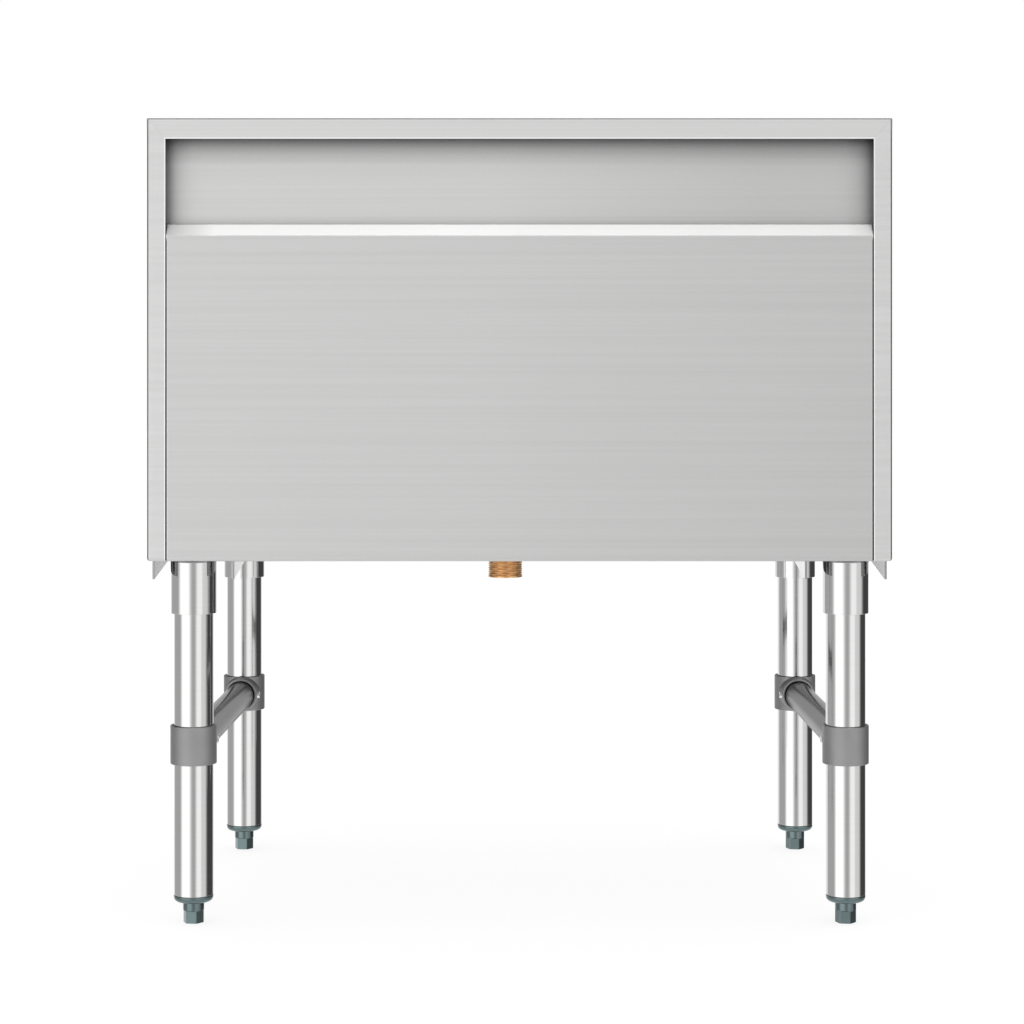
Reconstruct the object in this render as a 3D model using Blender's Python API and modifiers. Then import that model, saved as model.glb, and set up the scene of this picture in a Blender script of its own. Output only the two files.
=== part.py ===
"""Underbar ice bin: an insulated stainless bin on four tubular legs.

The frame has its origin on the floor under the middle of the body. +Z is up, -Y is the
back with the hollow backsplash, +Y is the side where the user stands. Sizes are metres.
"""

import math

import bmesh
import bpy
from mathutils import Matrix, Vector

# Body of folded sheet
BODY_WIDTH = 0.762
BODY_DEPTH = 0.533
BODY_HEIGHT = 0.333
UNDERSIDE_HEIGHT = 0.382
SHEET = 0.0012
BEND_RADIUS = 0.002
CLEARANCE = 0.0003
OVERRUN = 0.004

# Backsplash, hollow at the back
SPLASH_HEIGHT = 0.120
SPLASH_THICKNESS = 0.025
SPLASH_FLANGE = 0.021
SPLASH_COVE_RADIUS = 0.010
SIDE_FLANGE = 0.019

# Deck and its front edge
DECK_EDGE_RADIUS = 0.008
DECK_SKIRT = 0.038
BEND_RELIEF = 0.003

# Rear and front panels
REAR_LIP_RISE = 0.012
REAR_LIP_RUN = 0.008
FRONT_RETURN = 0.012

# Ice well
REAR_LEDGE = 0.030
FRONT_LEDGE = 0.050
SIDE_LEDGE = 0.050
WELL_FLOOR_HEIGHT = 0.041
WELL_CORNER_RADIUS = 0.022
WELL_COVE_RADIUS = 0.016
WELL_FLOOR_FALL = 0.008
LINER_RIM = 0.012
FOAM_TOP_DROP = 0.015

# Drain
DRAIN_OFFSET = -0.016
DRAIN_FLANGE_RADIUS = 0.040
DRAIN_FLANGE_THICKNESS = 0.0026
DRAIN_BOWL_RADIUS = 0.030
DRAIN_BOWL_DEPTH = 0.014
DRAIN_WALL = 0.003
DRAIN_BORE_RADIUS = 0.016
DRAIN_NIPPLE_RADIUS = 0.01905
DRAIN_NIPPLE_DROP = 0.041
LOCKNUT_RADIUS = 0.044
LOCKNUT_HEIGHT = 0.008
GASKET_THICKNESS = 0.002
STRAINER_THICKNESS = 0.0015
STRAINER_LEDGE = 0.0025
STRAINER_HOLE_RADIUS = 0.0024
STRAINER_RING_RADIUS = 0.0085
STRAINER_RINGS = 2
STRAINER_FIRST_RING_HOLES = 6

# Sliding covers and their rails
RAIL_SHELF = 0.015
UPPER_SHELF_DROP = 0.016
LOWER_SHELF_DROP = 0.029
RAIL_LIP = 0.004
RAIL_BEND_RADIUS = 0.0018
COVER_HEIGHT = 0.011
COVER_SIDE_GAP = 0.002
COVER_END_GAP = 0.001
COVER_CORNER_RADIUS = 0.025
COVER_EDGE_RADIUS = 0.0025
COVER_OVERLAP = 0.030
PULL_RADIUS = 0.0175
PULL_RIM = 0.0045
PULL_DEPTH = 0.0085
PULL_SHEET = 0.0008
PULL_INSET = 0.045

# Legs
LEG_RADIUS = 0.02065
LEG_WALL = 0.0015
REAR_LEG_INSET = 0.0405
REAR_LEG_SETBACK = 0.0635
FRONT_LEG_INSET = 0.0535
FRONT_LEG_SETBACK = 0.0705
LEG_END_HEIGHT = 0.0293

# Leg brackets and sockets
BRACKET_THICKNESS = 0.0025
BRACKET_OUTER_REACH = 0.040
BRACKET_INNER_REACH = 0.045
BRACKET_LENGTH = 0.170
BRACKET_HEEL_DEPTH = 0.022
BRACKET_TOE_DEPTH = 0.008
BRACKET_LIP = 0.006
BRACKET_BEND_RADIUS = 0.003
SOCKET_RADIUS = 0.0239
SOCKET_DROP = 0.059
SOCKET_CROWN = 0.004
SOCKET_CHAMFER = 0.0008

# Collars and cross rails
COLLAR_RADIUS = 0.02415
COLLAR_HEIGHT = 0.040
COLLAR_MIDDLE_HEIGHT = 0.186
COLLAR_MOUTH_DEPTH = 0.003
COLLAR_MOUTH_WALL = 0.0013
COLLAR_EDGE = 0.0008
BOSS_RADIUS = 0.0195
BOSS_REACH = 0.034
BOSS_EDGE = 0.001
CROSS_RAIL_RADIUS = 0.0159
CROSS_RAIL_WALL = 0.0015
COLLAR_BACK_WALL = 0.002

# Set screws
SCREW_RADIUS = 0.004
SCREW_STAND_OUT = 0.0025
SCREW_EDGE = 0.0006
SOCKET_SCREW_DROP = 0.030
COLLAR_SCREW_REACH = 0.0285

# Feet
INSERT_PLUG_LENGTH = 0.030
INSERT_SHOULDER_HEIGHT = 0.0073
INSERT_SHOULDER_BAND = 0.0022
INSERT_SHOULDER_REACH = 0.0082
INSERT_PLUG_TAPER = 0.002
FOOT_NECK_RADIUS = 0.011
FOOT_HEX_HEIGHT = 0.013
FOOT_HEX_FLAT = 0.0095
FOOT_EDGE = 0.0015
FOOT_STUD_RADIUS = 0.006
FOOT_STUD_LENGTH = 0.034
FOOT_TURN_DEGREES = -9.4

# Numbers of facets
TUBE_SIDES = 24
FOOT_SIDES = 20
DRAIN_SIDES = 20
SMALL_SIDES = 10
HOLE_SIDES = 6
CORNER_STEPS = 4
BEND_STEPS = 2
MERGE_DISTANCE = 0.00001

# Places worked out from the sizes above
LEFT_X = -BODY_WIDTH / 2
RIGHT_X = BODY_WIDTH / 2
BACK_Y = -BODY_DEPTH / 2
FRONT_Y = BODY_DEPTH / 2
UNDERSIDE_Z = UNDERSIDE_HEIGHT
DECK_Z = UNDERSIDE_Z + BODY_HEIGHT
TOP_Z = DECK_Z + SPLASH_HEIGHT
SPLASH_FRONT_Y = BACK_Y + SPLASH_THICKNESS
PANEL_HALF_WIDTH = BODY_WIDTH / 2 - SIDE_FLANGE - CLEARANCE
INNER_HALF_WIDTH = BODY_WIDTH / 2 - SHEET - CLEARANCE
SKIRT_BOTTOM_Z = DECK_Z - DECK_SKIRT
REAR_PANEL_DEPTH = SPLASH_THICKNESS - SHEET - CLEARANCE
MITRE_RUN = INNER_HALF_WIDTH - (BODY_WIDTH / 2 - SIDE_FLANGE)
MITRE_SLOPE = (SPLASH_FLANGE - BEND_RADIUS) / MITRE_RUN
MITRE_DROP = 3 * CLEARANCE * math.sqrt(1 + MITRE_SLOPE ** 2)

WELL_BACK_Y = SPLASH_FRONT_Y + REAR_LEDGE
WELL_FRONT_Y = FRONT_Y - FRONT_LEDGE
WELL_MIDDLE_Y = (WELL_BACK_Y + WELL_FRONT_Y) / 2
WELL_HALF_LENGTH = BODY_WIDTH / 2 - SIDE_LEDGE
WELL_HALF_WIDTH = (WELL_FRONT_Y - WELL_BACK_Y) / 2
RIM_Z = DECK_Z - SHEET - CLEARANCE
FLOOR_Z = UNDERSIDE_Z + WELL_FLOOR_HEIGHT
DRAIN_SEAT_Z = FLOOR_Z - WELL_FLOOR_FALL
DRAIN_SEAT_DEPTH = DRAIN_FLANGE_THICKNESS + CLEARANCE
DRAIN_THROAT_RADIUS = DRAIN_BOWL_RADIUS + DRAIN_WALL
PAN_BOTTOM_Z = UNDERSIDE_Z + SHEET + CLEARANCE
PAN_HALF_WIDTH = INNER_HALF_WIDTH - BEND_RADIUS
PAN_BACK_Y = BACK_Y + REAR_PANEL_DEPTH + CLEARANCE
PAN_FRONT_Y = FRONT_Y - FRONT_RETURN - CLEARANCE

UPPER_SHELF_Z = DECK_Z - UPPER_SHELF_DROP
LOWER_SHELF_Z = DECK_Z - LOWER_SHELF_DROP
RAIL_BACK = CLEARANCE + SHEET
COVER_LENGTH = WELL_HALF_LENGTH - COVER_END_GAP + COVER_OVERLAP / 2

REAR_LEG_X = BODY_WIDTH / 2 - REAR_LEG_INSET
REAR_LEG_Y = BACK_Y + REAR_LEG_SETBACK
FRONT_LEG_X = BODY_WIDTH / 2 - FRONT_LEG_INSET
FRONT_LEG_Y = FRONT_Y - FRONT_LEG_SETBACK
BRACKET_TOP_Z = UNDERSIDE_Z - CLEARANCE
SOCKET_TOP_Z = BRACKET_TOP_Z - BRACKET_THICKNESS - CLEARANCE
SOCKET_BOTTOM_Z = UNDERSIDE_Z - SOCKET_DROP
LEG_TOP_Z = SOCKET_TOP_Z - SOCKET_CROWN - CLEARANCE
LEG_BORE_RADIUS = LEG_RADIUS + CLEARANCE
INSERT_TOP_Z = LEG_END_HEIGHT - CLEARANCE
INSERT_BOTTOM_Z = LEG_END_HEIGHT - INSERT_SHOULDER_HEIGHT


def clear_scene():
    """Remove every object that the open file holds."""
    for item in list(bpy.data.objects):
        bpy.data.objects.remove(item, do_unlink=True)


def new_collection(name):
    """Collection linked to the scene."""
    collection = bpy.data.collections.new(name)
    bpy.context.scene.collection.children.link(collection)
    return collection


def new_material(name, colour, roughness, metallic):
    """Principled material with one colour."""
    material = bpy.data.materials.new(name)
    material.use_nodes = True
    shader = material.node_tree.nodes["Principled BSDF"]
    shader.inputs["Base Color"].default_value = (*colour, 1)
    shader.inputs["Roughness"].default_value = roughness
    shader.inputs["Metallic"].default_value = metallic
    material.diffuse_color = (*colour, 1)
    return material


clear_scene()
PARTS = new_collection("underbar_ice_bin")
CUTTERS = new_collection("cutters")

FINISHES = {
    "brushed_sheet": ((0.62, 0.62, 0.61), 0.34, 1),
    "well_sheet": ((0.66, 0.66, 0.65), 0.26, 1),
    "galvanised": ((0.55, 0.56, 0.57), 0.45, 1),
    "foam": ((0.84, 0.76, 0.52), 0.9, 0),
    "brass": ((0.62, 0.42, 0.19), 0.32, 1),
    "gasket": ((0.05, 0.05, 0.05), 0.7, 0),
    "tube": ((0.70, 0.70, 0.69), 0.16, 1),
    "socket": ((0.68, 0.68, 0.67), 0.22, 1),
    "collar": ((0.42, 0.42, 0.42), 0.42, 1),
    "screw": ((0.75, 0.75, 0.74), 0.2, 1),
    "foot": ((0.13, 0.17, 0.17), 0.38, 0),
}


def part_material(node, finish):
    """Own material of one sub-part, in one of the named finishes."""
    colour, roughness, metallic = FINISHES[finish]
    return new_material(node + "_" + finish, colour, roughness, metallic)


def place(node, mesh, finish, location=(0, 0, 0), rotation=(0, 0, 0), parent=None):
    """Put a mesh into the model as a named sub-part."""
    item = bpy.data.objects.new(node, mesh)
    PARTS.objects.link(item)
    if not mesh.materials:
        mesh.materials.append(part_material(node, finish))
    item.location = location
    item.rotation_euler = rotation
    item.parent = parent
    return item


def axis_empty(name, location, rotation=(0, 0, 0)):
    """Empty on a joint's axis or at a leg's foot, which carries pieces."""
    empty = bpy.data.objects.new(name, None)
    PARTS.objects.link(empty)
    empty.location = location
    empty.rotation_euler = rotation
    return empty


def cutter(name, mesh, location=(0, 0, 0), rotation=(0, 0, 0)):
    """Object that shapes another one and isn't a part itself."""
    item = bpy.data.objects.new(name, mesh)
    CUTTERS.objects.link(item)
    item.location = location
    item.rotation_euler = rotation
    item.hide_render = True
    item.display_type = "WIRE"
    return item


def shape_with(item, tool, operation="DIFFERENCE"):
    """Exact boolean of a part with a tool object."""
    boolean = item.modifiers.new(operation.title() + " " + tool.name, "BOOLEAN")
    boolean.operation = operation
    boolean.object = tool
    boolean.solver = "EXACT"


def thicken(item, thickness):
    """Give an open surface a wall behind its visible side."""
    wall = item.modifiers.new("Sheet thickness", "SOLIDIFY")
    wall.thickness = thickness
    wall.offset = -1
    wall.use_even_offset = True


def mesh_from(bm, name):
    """Turn an edit mesh into a mesh and free it."""
    mesh = bpy.data.meshes.new(name)
    bm.to_mesh(mesh)
    bm.free()
    return mesh


def smooth_round(mesh):
    """Shade round sides smooth and keep real edges sharp."""
    mesh.shade_smooth()
    mesh.set_sharp_from_angle(angle=math.radians(32))
    return mesh


def show_side_to(bm, viewpoint):
    """Turn an open surface so that its visible side faces the viewpoint."""
    bmesh.ops.recalc_face_normals(bm, faces=bm.faces)
    seen = sum(face.calc_area() * face.normal.dot((viewpoint - face.calc_center_median()).normalized())
               for face in bm.faces)
    if seen < 0:
        bmesh.ops.reverse_faces(bm, faces=bm.faces)


def rounded_path(points, radii, steps):
    """Open polyline whose inner corners are arcs of the given radii."""
    path = [Vector(points[0])]
    for before, corner, after, radius in zip(points, points[1:], points[2:], radii):
        corner = Vector(corner)
        if radius == 0:
            path.append(corner)
            continue
        to_before = (Vector(before) - corner).normalized()
        to_after = (Vector(after) - corner).normalized()
        half_angle = to_before.angle(to_after) / 2
        centre = corner + (to_before + to_after).normalized() * radius / math.sin(half_angle)
        tangent = radius / math.tan(half_angle)
        first = corner + to_before * tangent - centre
        last = corner + to_after * tangent - centre
        sweep = first.angle(last)
        for step in range(steps + 1):
            turned_by = sweep * step / steps
            ahead = (last - first * math.cos(sweep)) / math.sin(sweep)
            path.append(centre + first * math.cos(turned_by) + ahead * math.sin(turned_by))
    path.append(Vector(points[-1]))
    return path


def rounded_rectangle(half_x, half_y, radius, z, centre_y=0.0, steps=CORNER_STEPS):
    """Points round a rectangle with round corners, anticlockwise from +X."""
    ring = []
    for quarter, (side_x, side_y) in enumerate(((1, 1), (-1, 1), (-1, -1), (1, -1))):
        for step in range(steps + 1):
            angle = math.radians(90) * (quarter + step / steps)
            ring.append(Vector((side_x * (half_x - radius) + radius * math.cos(angle),
                                centre_y + side_y * (half_y - radius) + radius * math.sin(angle), z)))
    return ring


def circle_ring(radius, z, centre, count, shift=0.0):
    """Points round a circle; shift turns them by a part of one step."""
    return [Vector((centre[0] + radius * math.cos(math.tau * (index + shift) / count),
                    centre[1] + radius * math.sin(math.tau * (index + shift) / count), z))
            for index in range(count)]


def clear_radius(radius, sides):
    """Corner radius of a many-sided hole whose flats clear a round piece."""
    return (radius + CLEARANCE) / math.cos(math.pi / sides)


def loft(rings, cap_first=False, cap_last=False, endless=False):
    """Surface through rings of as many points each, with end faces or run back to the first."""
    bm = bmesh.new()
    loops = [[bm.verts.new(point) for point in ring] for ring in rings]
    if endless:
        loops.append(loops[0])
    for upper, lower in zip(loops, loops[1:]):
        for index, vertex in enumerate(upper):
            following = (index + 1) % len(upper)
            bm.faces.new((vertex, upper[following], lower[following], lower[index]))
    if cap_first:
        bm.faces.new(loops[0])
    if cap_last:
        bm.faces.new(loops[-1])
    bmesh.ops.recalc_face_normals(bm, faces=bm.faces)
    return bm


def prism(outline, bottom, top):
    """Closed upright prism on a flat outline."""
    lower = [Vector((point[0], point[1], bottom)) for point in outline]
    upper = [Vector((point[0], point[1], top)) for point in outline]
    return loft([lower, upper], cap_first=True, cap_last=True)


def cylinder(radius, bottom, top, sides, centre=(0, 0)):
    """Closed upright cylinder."""
    return prism(circle_ring(radius, 0, centre, sides), bottom, top)


def swept_sheet(path, sweep):
    """Open surface: a bent path carried along a straight sweep."""
    bm = bmesh.new()
    vertices = [bm.verts.new(point) for point in path]
    edges = [bm.edges.new(pair) for pair in zip(vertices, vertices[1:])]
    extruded = bmesh.ops.extrude_edge_only(bm, edges=edges)["geom"]
    moved = [item for item in extruded if isinstance(item, bmesh.types.BMVert)]
    bmesh.ops.translate(bm, verts=moved, vec=Vector(sweep))
    return bm


def open_tray(low, high, open_side):
    """Box surface without the side that has the given outward direction."""
    low = Vector(low)
    high = Vector(high)
    size = high - low
    bm = bmesh.new()
    bmesh.ops.create_cube(bm, size=1)
    bmesh.ops.scale(bm, verts=bm.verts, vec=size)
    bmesh.ops.translate(bm, verts=bm.verts, vec=(low + high) / 2)
    bm.normal_update()
    opened = [face for face in bm.faces if face.normal.dot(Vector(open_side)) > 1 / 2]
    bmesh.ops.delete(bm, geom=opened, context="FACES_ONLY")
    return bm


def round_bends(bm, radius, steps=BEND_STEPS):
    """Round every edge where two faces of a sheet meet at an angle."""
    bends = [edge for edge in bm.edges
             if len(edge.link_faces) == 2 and edge.calc_face_angle() > math.radians(5)]
    bmesh.ops.bevel(bm, geom=bends, offset=radius, segments=steps, profile=1 / 2,
                    affect="EDGES", clamp_overlap=True)


def turned(name, profile, sides, closed=False):
    """Mesh of a profile of radius and height turned round Z.

    The profile runs down its outer side, and a closed one returns up its bore.
    """
    bm = bmesh.new()
    vertices = [bm.verts.new((radius, 0, height)) for radius, height in profile]
    pairs = list(zip(vertices, vertices[1:]))
    if closed:
        pairs.append((vertices[-1], vertices[0]))
    for pair in pairs:
        bm.edges.new(pair)
    blank = bpy.data.objects.new(name, mesh_from(bm, name + "_profile"))
    CUTTERS.objects.link(blank)
    screw = blank.modifiers.new("Turn", "SCREW")
    screw.axis = "Z"
    screw.angle = math.tau
    screw.steps = sides
    screw.render_steps = sides
    screw.use_merge_vertices = True
    screw.merge_threshold = MERGE_DISTANCE
    return baked_mesh(blank)


def baked_mesh(item):
    """Mesh of an object with its modifiers applied; the object is removed."""
    bpy.context.view_layer.update()
    graph = bpy.context.evaluated_depsgraph_get()
    mesh = bpy.data.meshes.new_from_object(item.evaluated_get(graph))
    mesh.name = item.name
    bpy.data.objects.remove(item, do_unlink=True)
    return smooth_round(mesh)


def shaped_mesh(name, mesh, tools):
    """Mesh cut or joined by tools, each given as a mesh, an operation and a matrix."""
    blank = bpy.data.objects.new(name, mesh)
    CUTTERS.objects.link(blank)
    used = []
    for number, (tool_mesh, operation, matrix) in enumerate(tools):
        tool = cutter(name + "_tool_" + str(number), tool_mesh)
        tool.matrix_world = matrix
        shape_with(blank, tool, operation)
        used.append(tool)
    result = baked_mesh(blank)
    for tool in used:
        bpy.data.objects.remove(tool, do_unlink=True)
    return result


def crown_path(back_points, back_radii):
    """Outer line of backsplash and deck in the YZ plane, from back to front.

    back_points and back_radii are what comes before the backsplash's upper front edge.
    """
    points = back_points + [(0, SPLASH_FRONT_Y, TOP_Z), (0, SPLASH_FRONT_Y, DECK_Z), (0, FRONT_Y, DECK_Z),
                            (0, FRONT_Y, SKIRT_BOTTOM_Z)]
    radii = back_radii + [BEND_RADIUS, SPLASH_COVE_RADIUS, DECK_EDGE_RADIUS]
    return rounded_path(points, radii, CORNER_STEPS)


def make_top():
    """One bent sheet: back flange, backsplash, coved deck and front skirt."""
    path = crown_path([(0, BACK_Y, TOP_Z - SPLASH_FLANGE), (0, BACK_Y, TOP_Z)], [BEND_RADIUS])
    start = Vector((-INNER_HALF_WIDTH, 0, 0))
    bm = swept_sheet([point + start for point in path], (2 * INNER_HALF_WIDTH, 0, 0))
    for vertex in bm.verts:
        if abs(vertex.co.y - BACK_Y) < SHEET and vertex.co.z < TOP_Z - SPLASH_FLANGE / 2:
            vertex.co.x -= math.copysign(MITRE_RUN, vertex.co.x)
    show_side_to(bm, Vector((0, BODY_WIDTH, TOP_Z + BODY_WIDTH)))
    top = place("top_and_backsplash", smooth_round(mesh_from(bm, "top_and_backsplash")), "brushed_sheet")
    thicken(top, SHEET)
    opening = rounded_rectangle(WELL_HALF_LENGTH, WELL_HALF_WIDTH, WELL_CORNER_RADIUS, 0, WELL_MIDDLE_Y)
    hole = prism(opening, DECK_Z - SHEET - OVERRUN, DECK_Z + OVERRUN)
    shape_with(top, cutter("well_opening_cutter", mesh_from(hole, "well_opening_cutter")))


def make_side_panel(node, side):
    """Side sheet with its flange folded in along the back, the bottom and the front."""
    bm = bmesh.new()
    flange_top_z = SKIRT_BOTTOM_Z - CLEARANCE
    relief_z = flange_top_z + BEND_RELIEF
    corner_z = TOP_Z - BEND_RADIUS + MITRE_SLOPE * (BODY_WIDTH / 2 - INNER_HALF_WIDTH) - MITRE_DROP
    crown = crown_path([(0, BACK_Y, corner_z), (0, BACK_Y + 2 * BEND_RADIUS, TOP_Z)], [0])[:-1]
    relief = [(0, FRONT_Y, relief_z), (0, FRONT_Y - BEND_RELIEF, relief_z),
              (0, FRONT_Y - BEND_RELIEF, flange_top_z), (0, FRONT_Y, flange_top_z)]
    outline = [Vector((0, BACK_Y, UNDERSIDE_Z))] + crown + [Vector(point) for point in relief]
    outline.append(Vector((0, FRONT_Y, UNDERSIDE_Z)))
    plate = [bm.verts.new(point + Vector((side * BODY_WIDTH / 2, 0, 0))) for point in outline]
    bm.faces.new(plate)
    back_bottom, back_top, front_top, front_bottom = plate[0], plate[1], plate[-2], plate[-1]
    folded = [bm.edges.get(pair) for pair in ((back_top, back_bottom), (back_bottom, front_bottom),
                                              (front_bottom, front_top))]
    extruded = bmesh.ops.extrude_edge_only(bm, edges=folded)["geom"]
    rims = [item for item in extruded if isinstance(item, bmesh.types.BMVert)]
    bmesh.ops.translate(bm, verts=rims, vec=Vector((-side * SIDE_FLANGE, 0, 0)))
    for vertex in rims:
        if vertex.co.z > DECK_Z:
            vertex.co.z = TOP_Z - SPLASH_FLANGE - MITRE_DROP
    show_side_to(bm, Vector((side * BODY_DEPTH * 4, 0, DECK_Z / 2)))
    round_bends(bm, BEND_RADIUS)
    panel = place(node, smooth_round(mesh_from(bm, node)), "brushed_sheet")
    thicken(panel, SHEET)


def make_rear_panel():
    """Shallow tray whose upper side slopes up steeply, then runs level to the back of the backsplash."""
    back = (-PANEL_HALF_WIDTH, BACK_Y, UNDERSIDE_Z)
    inner = (PANEL_HALF_WIDTH, BACK_Y + REAR_PANEL_DEPTH, DECK_Z)
    bm = open_tray(back, inner, (0, 1, 0))
    slope_end = Vector((0, BACK_Y + REAR_LIP_RUN, 0))
    bmesh.ops.bisect_plane(bm, geom=bm.verts[:] + bm.edges[:] + bm.faces[:], plane_co=slope_end,
                           plane_no=(0, 1, 0))
    for vertex in bm.verts:
        if vertex.co.y > BACK_Y + REAR_LIP_RUN / 2 and vertex.co.z > DECK_Z - BODY_HEIGHT / 2:
            vertex.co.z += REAR_LIP_RISE
    show_side_to(bm, Vector((0, -BODY_DEPTH * 4, DECK_Z / 2)))
    round_bends(bm, BEND_RADIUS)
    panel = place("rear_panel", smooth_round(mesh_from(bm, "rear_panel")), "brushed_sheet")
    thicken(panel, SHEET)


def make_front_panel():
    """Shallow tray that closes the front below the deck's skirt."""
    low = (-PANEL_HALF_WIDTH, FRONT_Y - FRONT_RETURN, UNDERSIDE_Z)
    high = (PANEL_HALF_WIDTH, FRONT_Y, SKIRT_BOTTOM_Z - CLEARANCE)
    bm = open_tray(low, high, (0, -1, 0))
    show_side_to(bm, Vector((0, BODY_DEPTH * 4, DECK_Z / 2)))
    round_bends(bm, BEND_RADIUS)
    panel = place("front_panel", smooth_round(mesh_from(bm, "front_panel")), "brushed_sheet")
    thicken(panel, SHEET)


def make_bottom_pan():
    """Flat sheet on the side panels' bottom flanges, with a hole for the drain."""
    outline = [(-PAN_HALF_WIDTH, PAN_BACK_Y), (PAN_HALF_WIDTH, PAN_BACK_Y),
               (PAN_HALF_WIDTH, PAN_FRONT_Y), (-PAN_HALF_WIDTH, PAN_FRONT_Y)]
    pan = place("bottom_pan", mesh_from(prism(outline, PAN_BOTTOM_Z, PAN_BOTTOM_Z + SHEET), "bottom_pan"),
                "galvanised")
    hole = cylinder(DRAIN_NIPPLE_RADIUS + CLEARANCE, PAN_BOTTOM_Z - OVERRUN, PAN_BOTTOM_Z + SHEET + OVERRUN,
                    DRAIN_SIDES, (DRAIN_OFFSET, WELL_MIDDLE_Y))
    shape_with(pan, cutter("pan_drain_cutter", mesh_from(hole, "pan_drain_cutter")))


def well_rings(outward):
    """Rings down the well's wall, round the cove and over the floor to the drain seat.

    outward moves the surface away from the ice, for the back of the sheet and the foam.
    """
    rings = [rounded_rectangle(WELL_HALF_LENGTH + outward, WELL_HALF_WIDTH + outward,
                               WELL_CORNER_RADIUS + outward, RIM_Z - BEND_RADIUS, WELL_MIDDLE_Y)]
    reach = WELL_COVE_RADIUS + outward
    for step in range(CORNER_STEPS):
        angle = math.radians(90) * step / (CORNER_STEPS - 1)
        inset = WELL_COVE_RADIUS - reach * math.cos(angle)
        rings.append(rounded_rectangle(WELL_HALF_LENGTH - inset, WELL_HALF_WIDTH - inset,
                                       WELL_CORNER_RADIUS - inset,
                                       FLOOR_Z + WELL_COVE_RADIUS - reach * math.sin(angle), WELL_MIDDLE_Y))
    count = len(rings[0])
    centre = (DRAIN_OFFSET, WELL_MIDDLE_Y)
    seat_radius = clear_radius(DRAIN_FLANGE_RADIUS, count) + outward
    seat_z = DRAIN_SEAT_Z - outward
    rings.append(circle_ring(seat_radius + BEND_RADIUS, seat_z, centre, count, 1 / 2))
    rings.append(circle_ring(seat_radius, seat_z - DRAIN_SEAT_DEPTH, centre, count, 1 / 2))
    return rings


def make_liner():
    """Welded stainless well: rim under the deck, coved corners, floor falling to the drain."""
    rings = well_rings(0)
    rim_outer = rounded_rectangle(WELL_HALF_LENGTH + LINER_RIM, WELL_HALF_WIDTH + LINER_RIM,
                                  WELL_CORNER_RADIUS + LINER_RIM, RIM_Z, WELL_MIDDLE_Y)
    rim_inner = rounded_rectangle(WELL_HALF_LENGTH + BEND_RADIUS, WELL_HALF_WIDTH + BEND_RADIUS,
                                  WELL_CORNER_RADIUS + BEND_RADIUS, RIM_Z, WELL_MIDDLE_Y)
    count = len(rings[0])
    throat = circle_ring(clear_radius(DRAIN_THROAT_RADIUS, count), DRAIN_SEAT_Z - DRAIN_SEAT_DEPTH,
                         (DRAIN_OFFSET, WELL_MIDDLE_Y), count, 1 / 2)
    bm = loft([rim_outer, rim_inner] + rings + [throat])
    show_side_to(bm, Vector((0, WELL_MIDDLE_Y, TOP_Z * 4)))
    liner = place("ice_liner", smooth_round(mesh_from(bm, "ice_liner")), "well_sheet")
    thicken(liner, SHEET)


def make_foam():
    """Insulation between the liner and the casing, with a tongue into the rear panel."""
    half = PAN_HALF_WIDTH
    tongue = PANEL_HALF_WIDTH - BEND_RADIUS
    tongue_y = BACK_Y + SHEET + CLEARANCE
    outline = [(-half, PAN_BACK_Y), (-tongue, PAN_BACK_Y), (-tongue, tongue_y), (tongue, tongue_y),
               (tongue, PAN_BACK_Y), (half, PAN_BACK_Y), (half, PAN_FRONT_Y), (-half, PAN_FRONT_Y)]
    bottom = PAN_BOTTOM_Z + SHEET + CLEARANCE
    top = DECK_Z - FOAM_TOP_DROP
    foam = place("foam_insulation", mesh_from(prism(outline, bottom, top), "foam_insulation"), "foam")
    well = loft(well_rings(SHEET + CLEARANCE), cap_first=True, cap_last=True)
    shape_with(foam, cutter("well_cutter", mesh_from(well, "well_cutter")))
    shaft = cylinder(LOCKNUT_RADIUS + OVERRUN, bottom - OVERRUN, DRAIN_SEAT_Z, DRAIN_SIDES,
                     (DRAIN_OFFSET, WELL_MIDDLE_Y))
    shape_with(foam, cutter("foam_drain_cutter", mesh_from(shaft, "foam_drain_cutter")))


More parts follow.
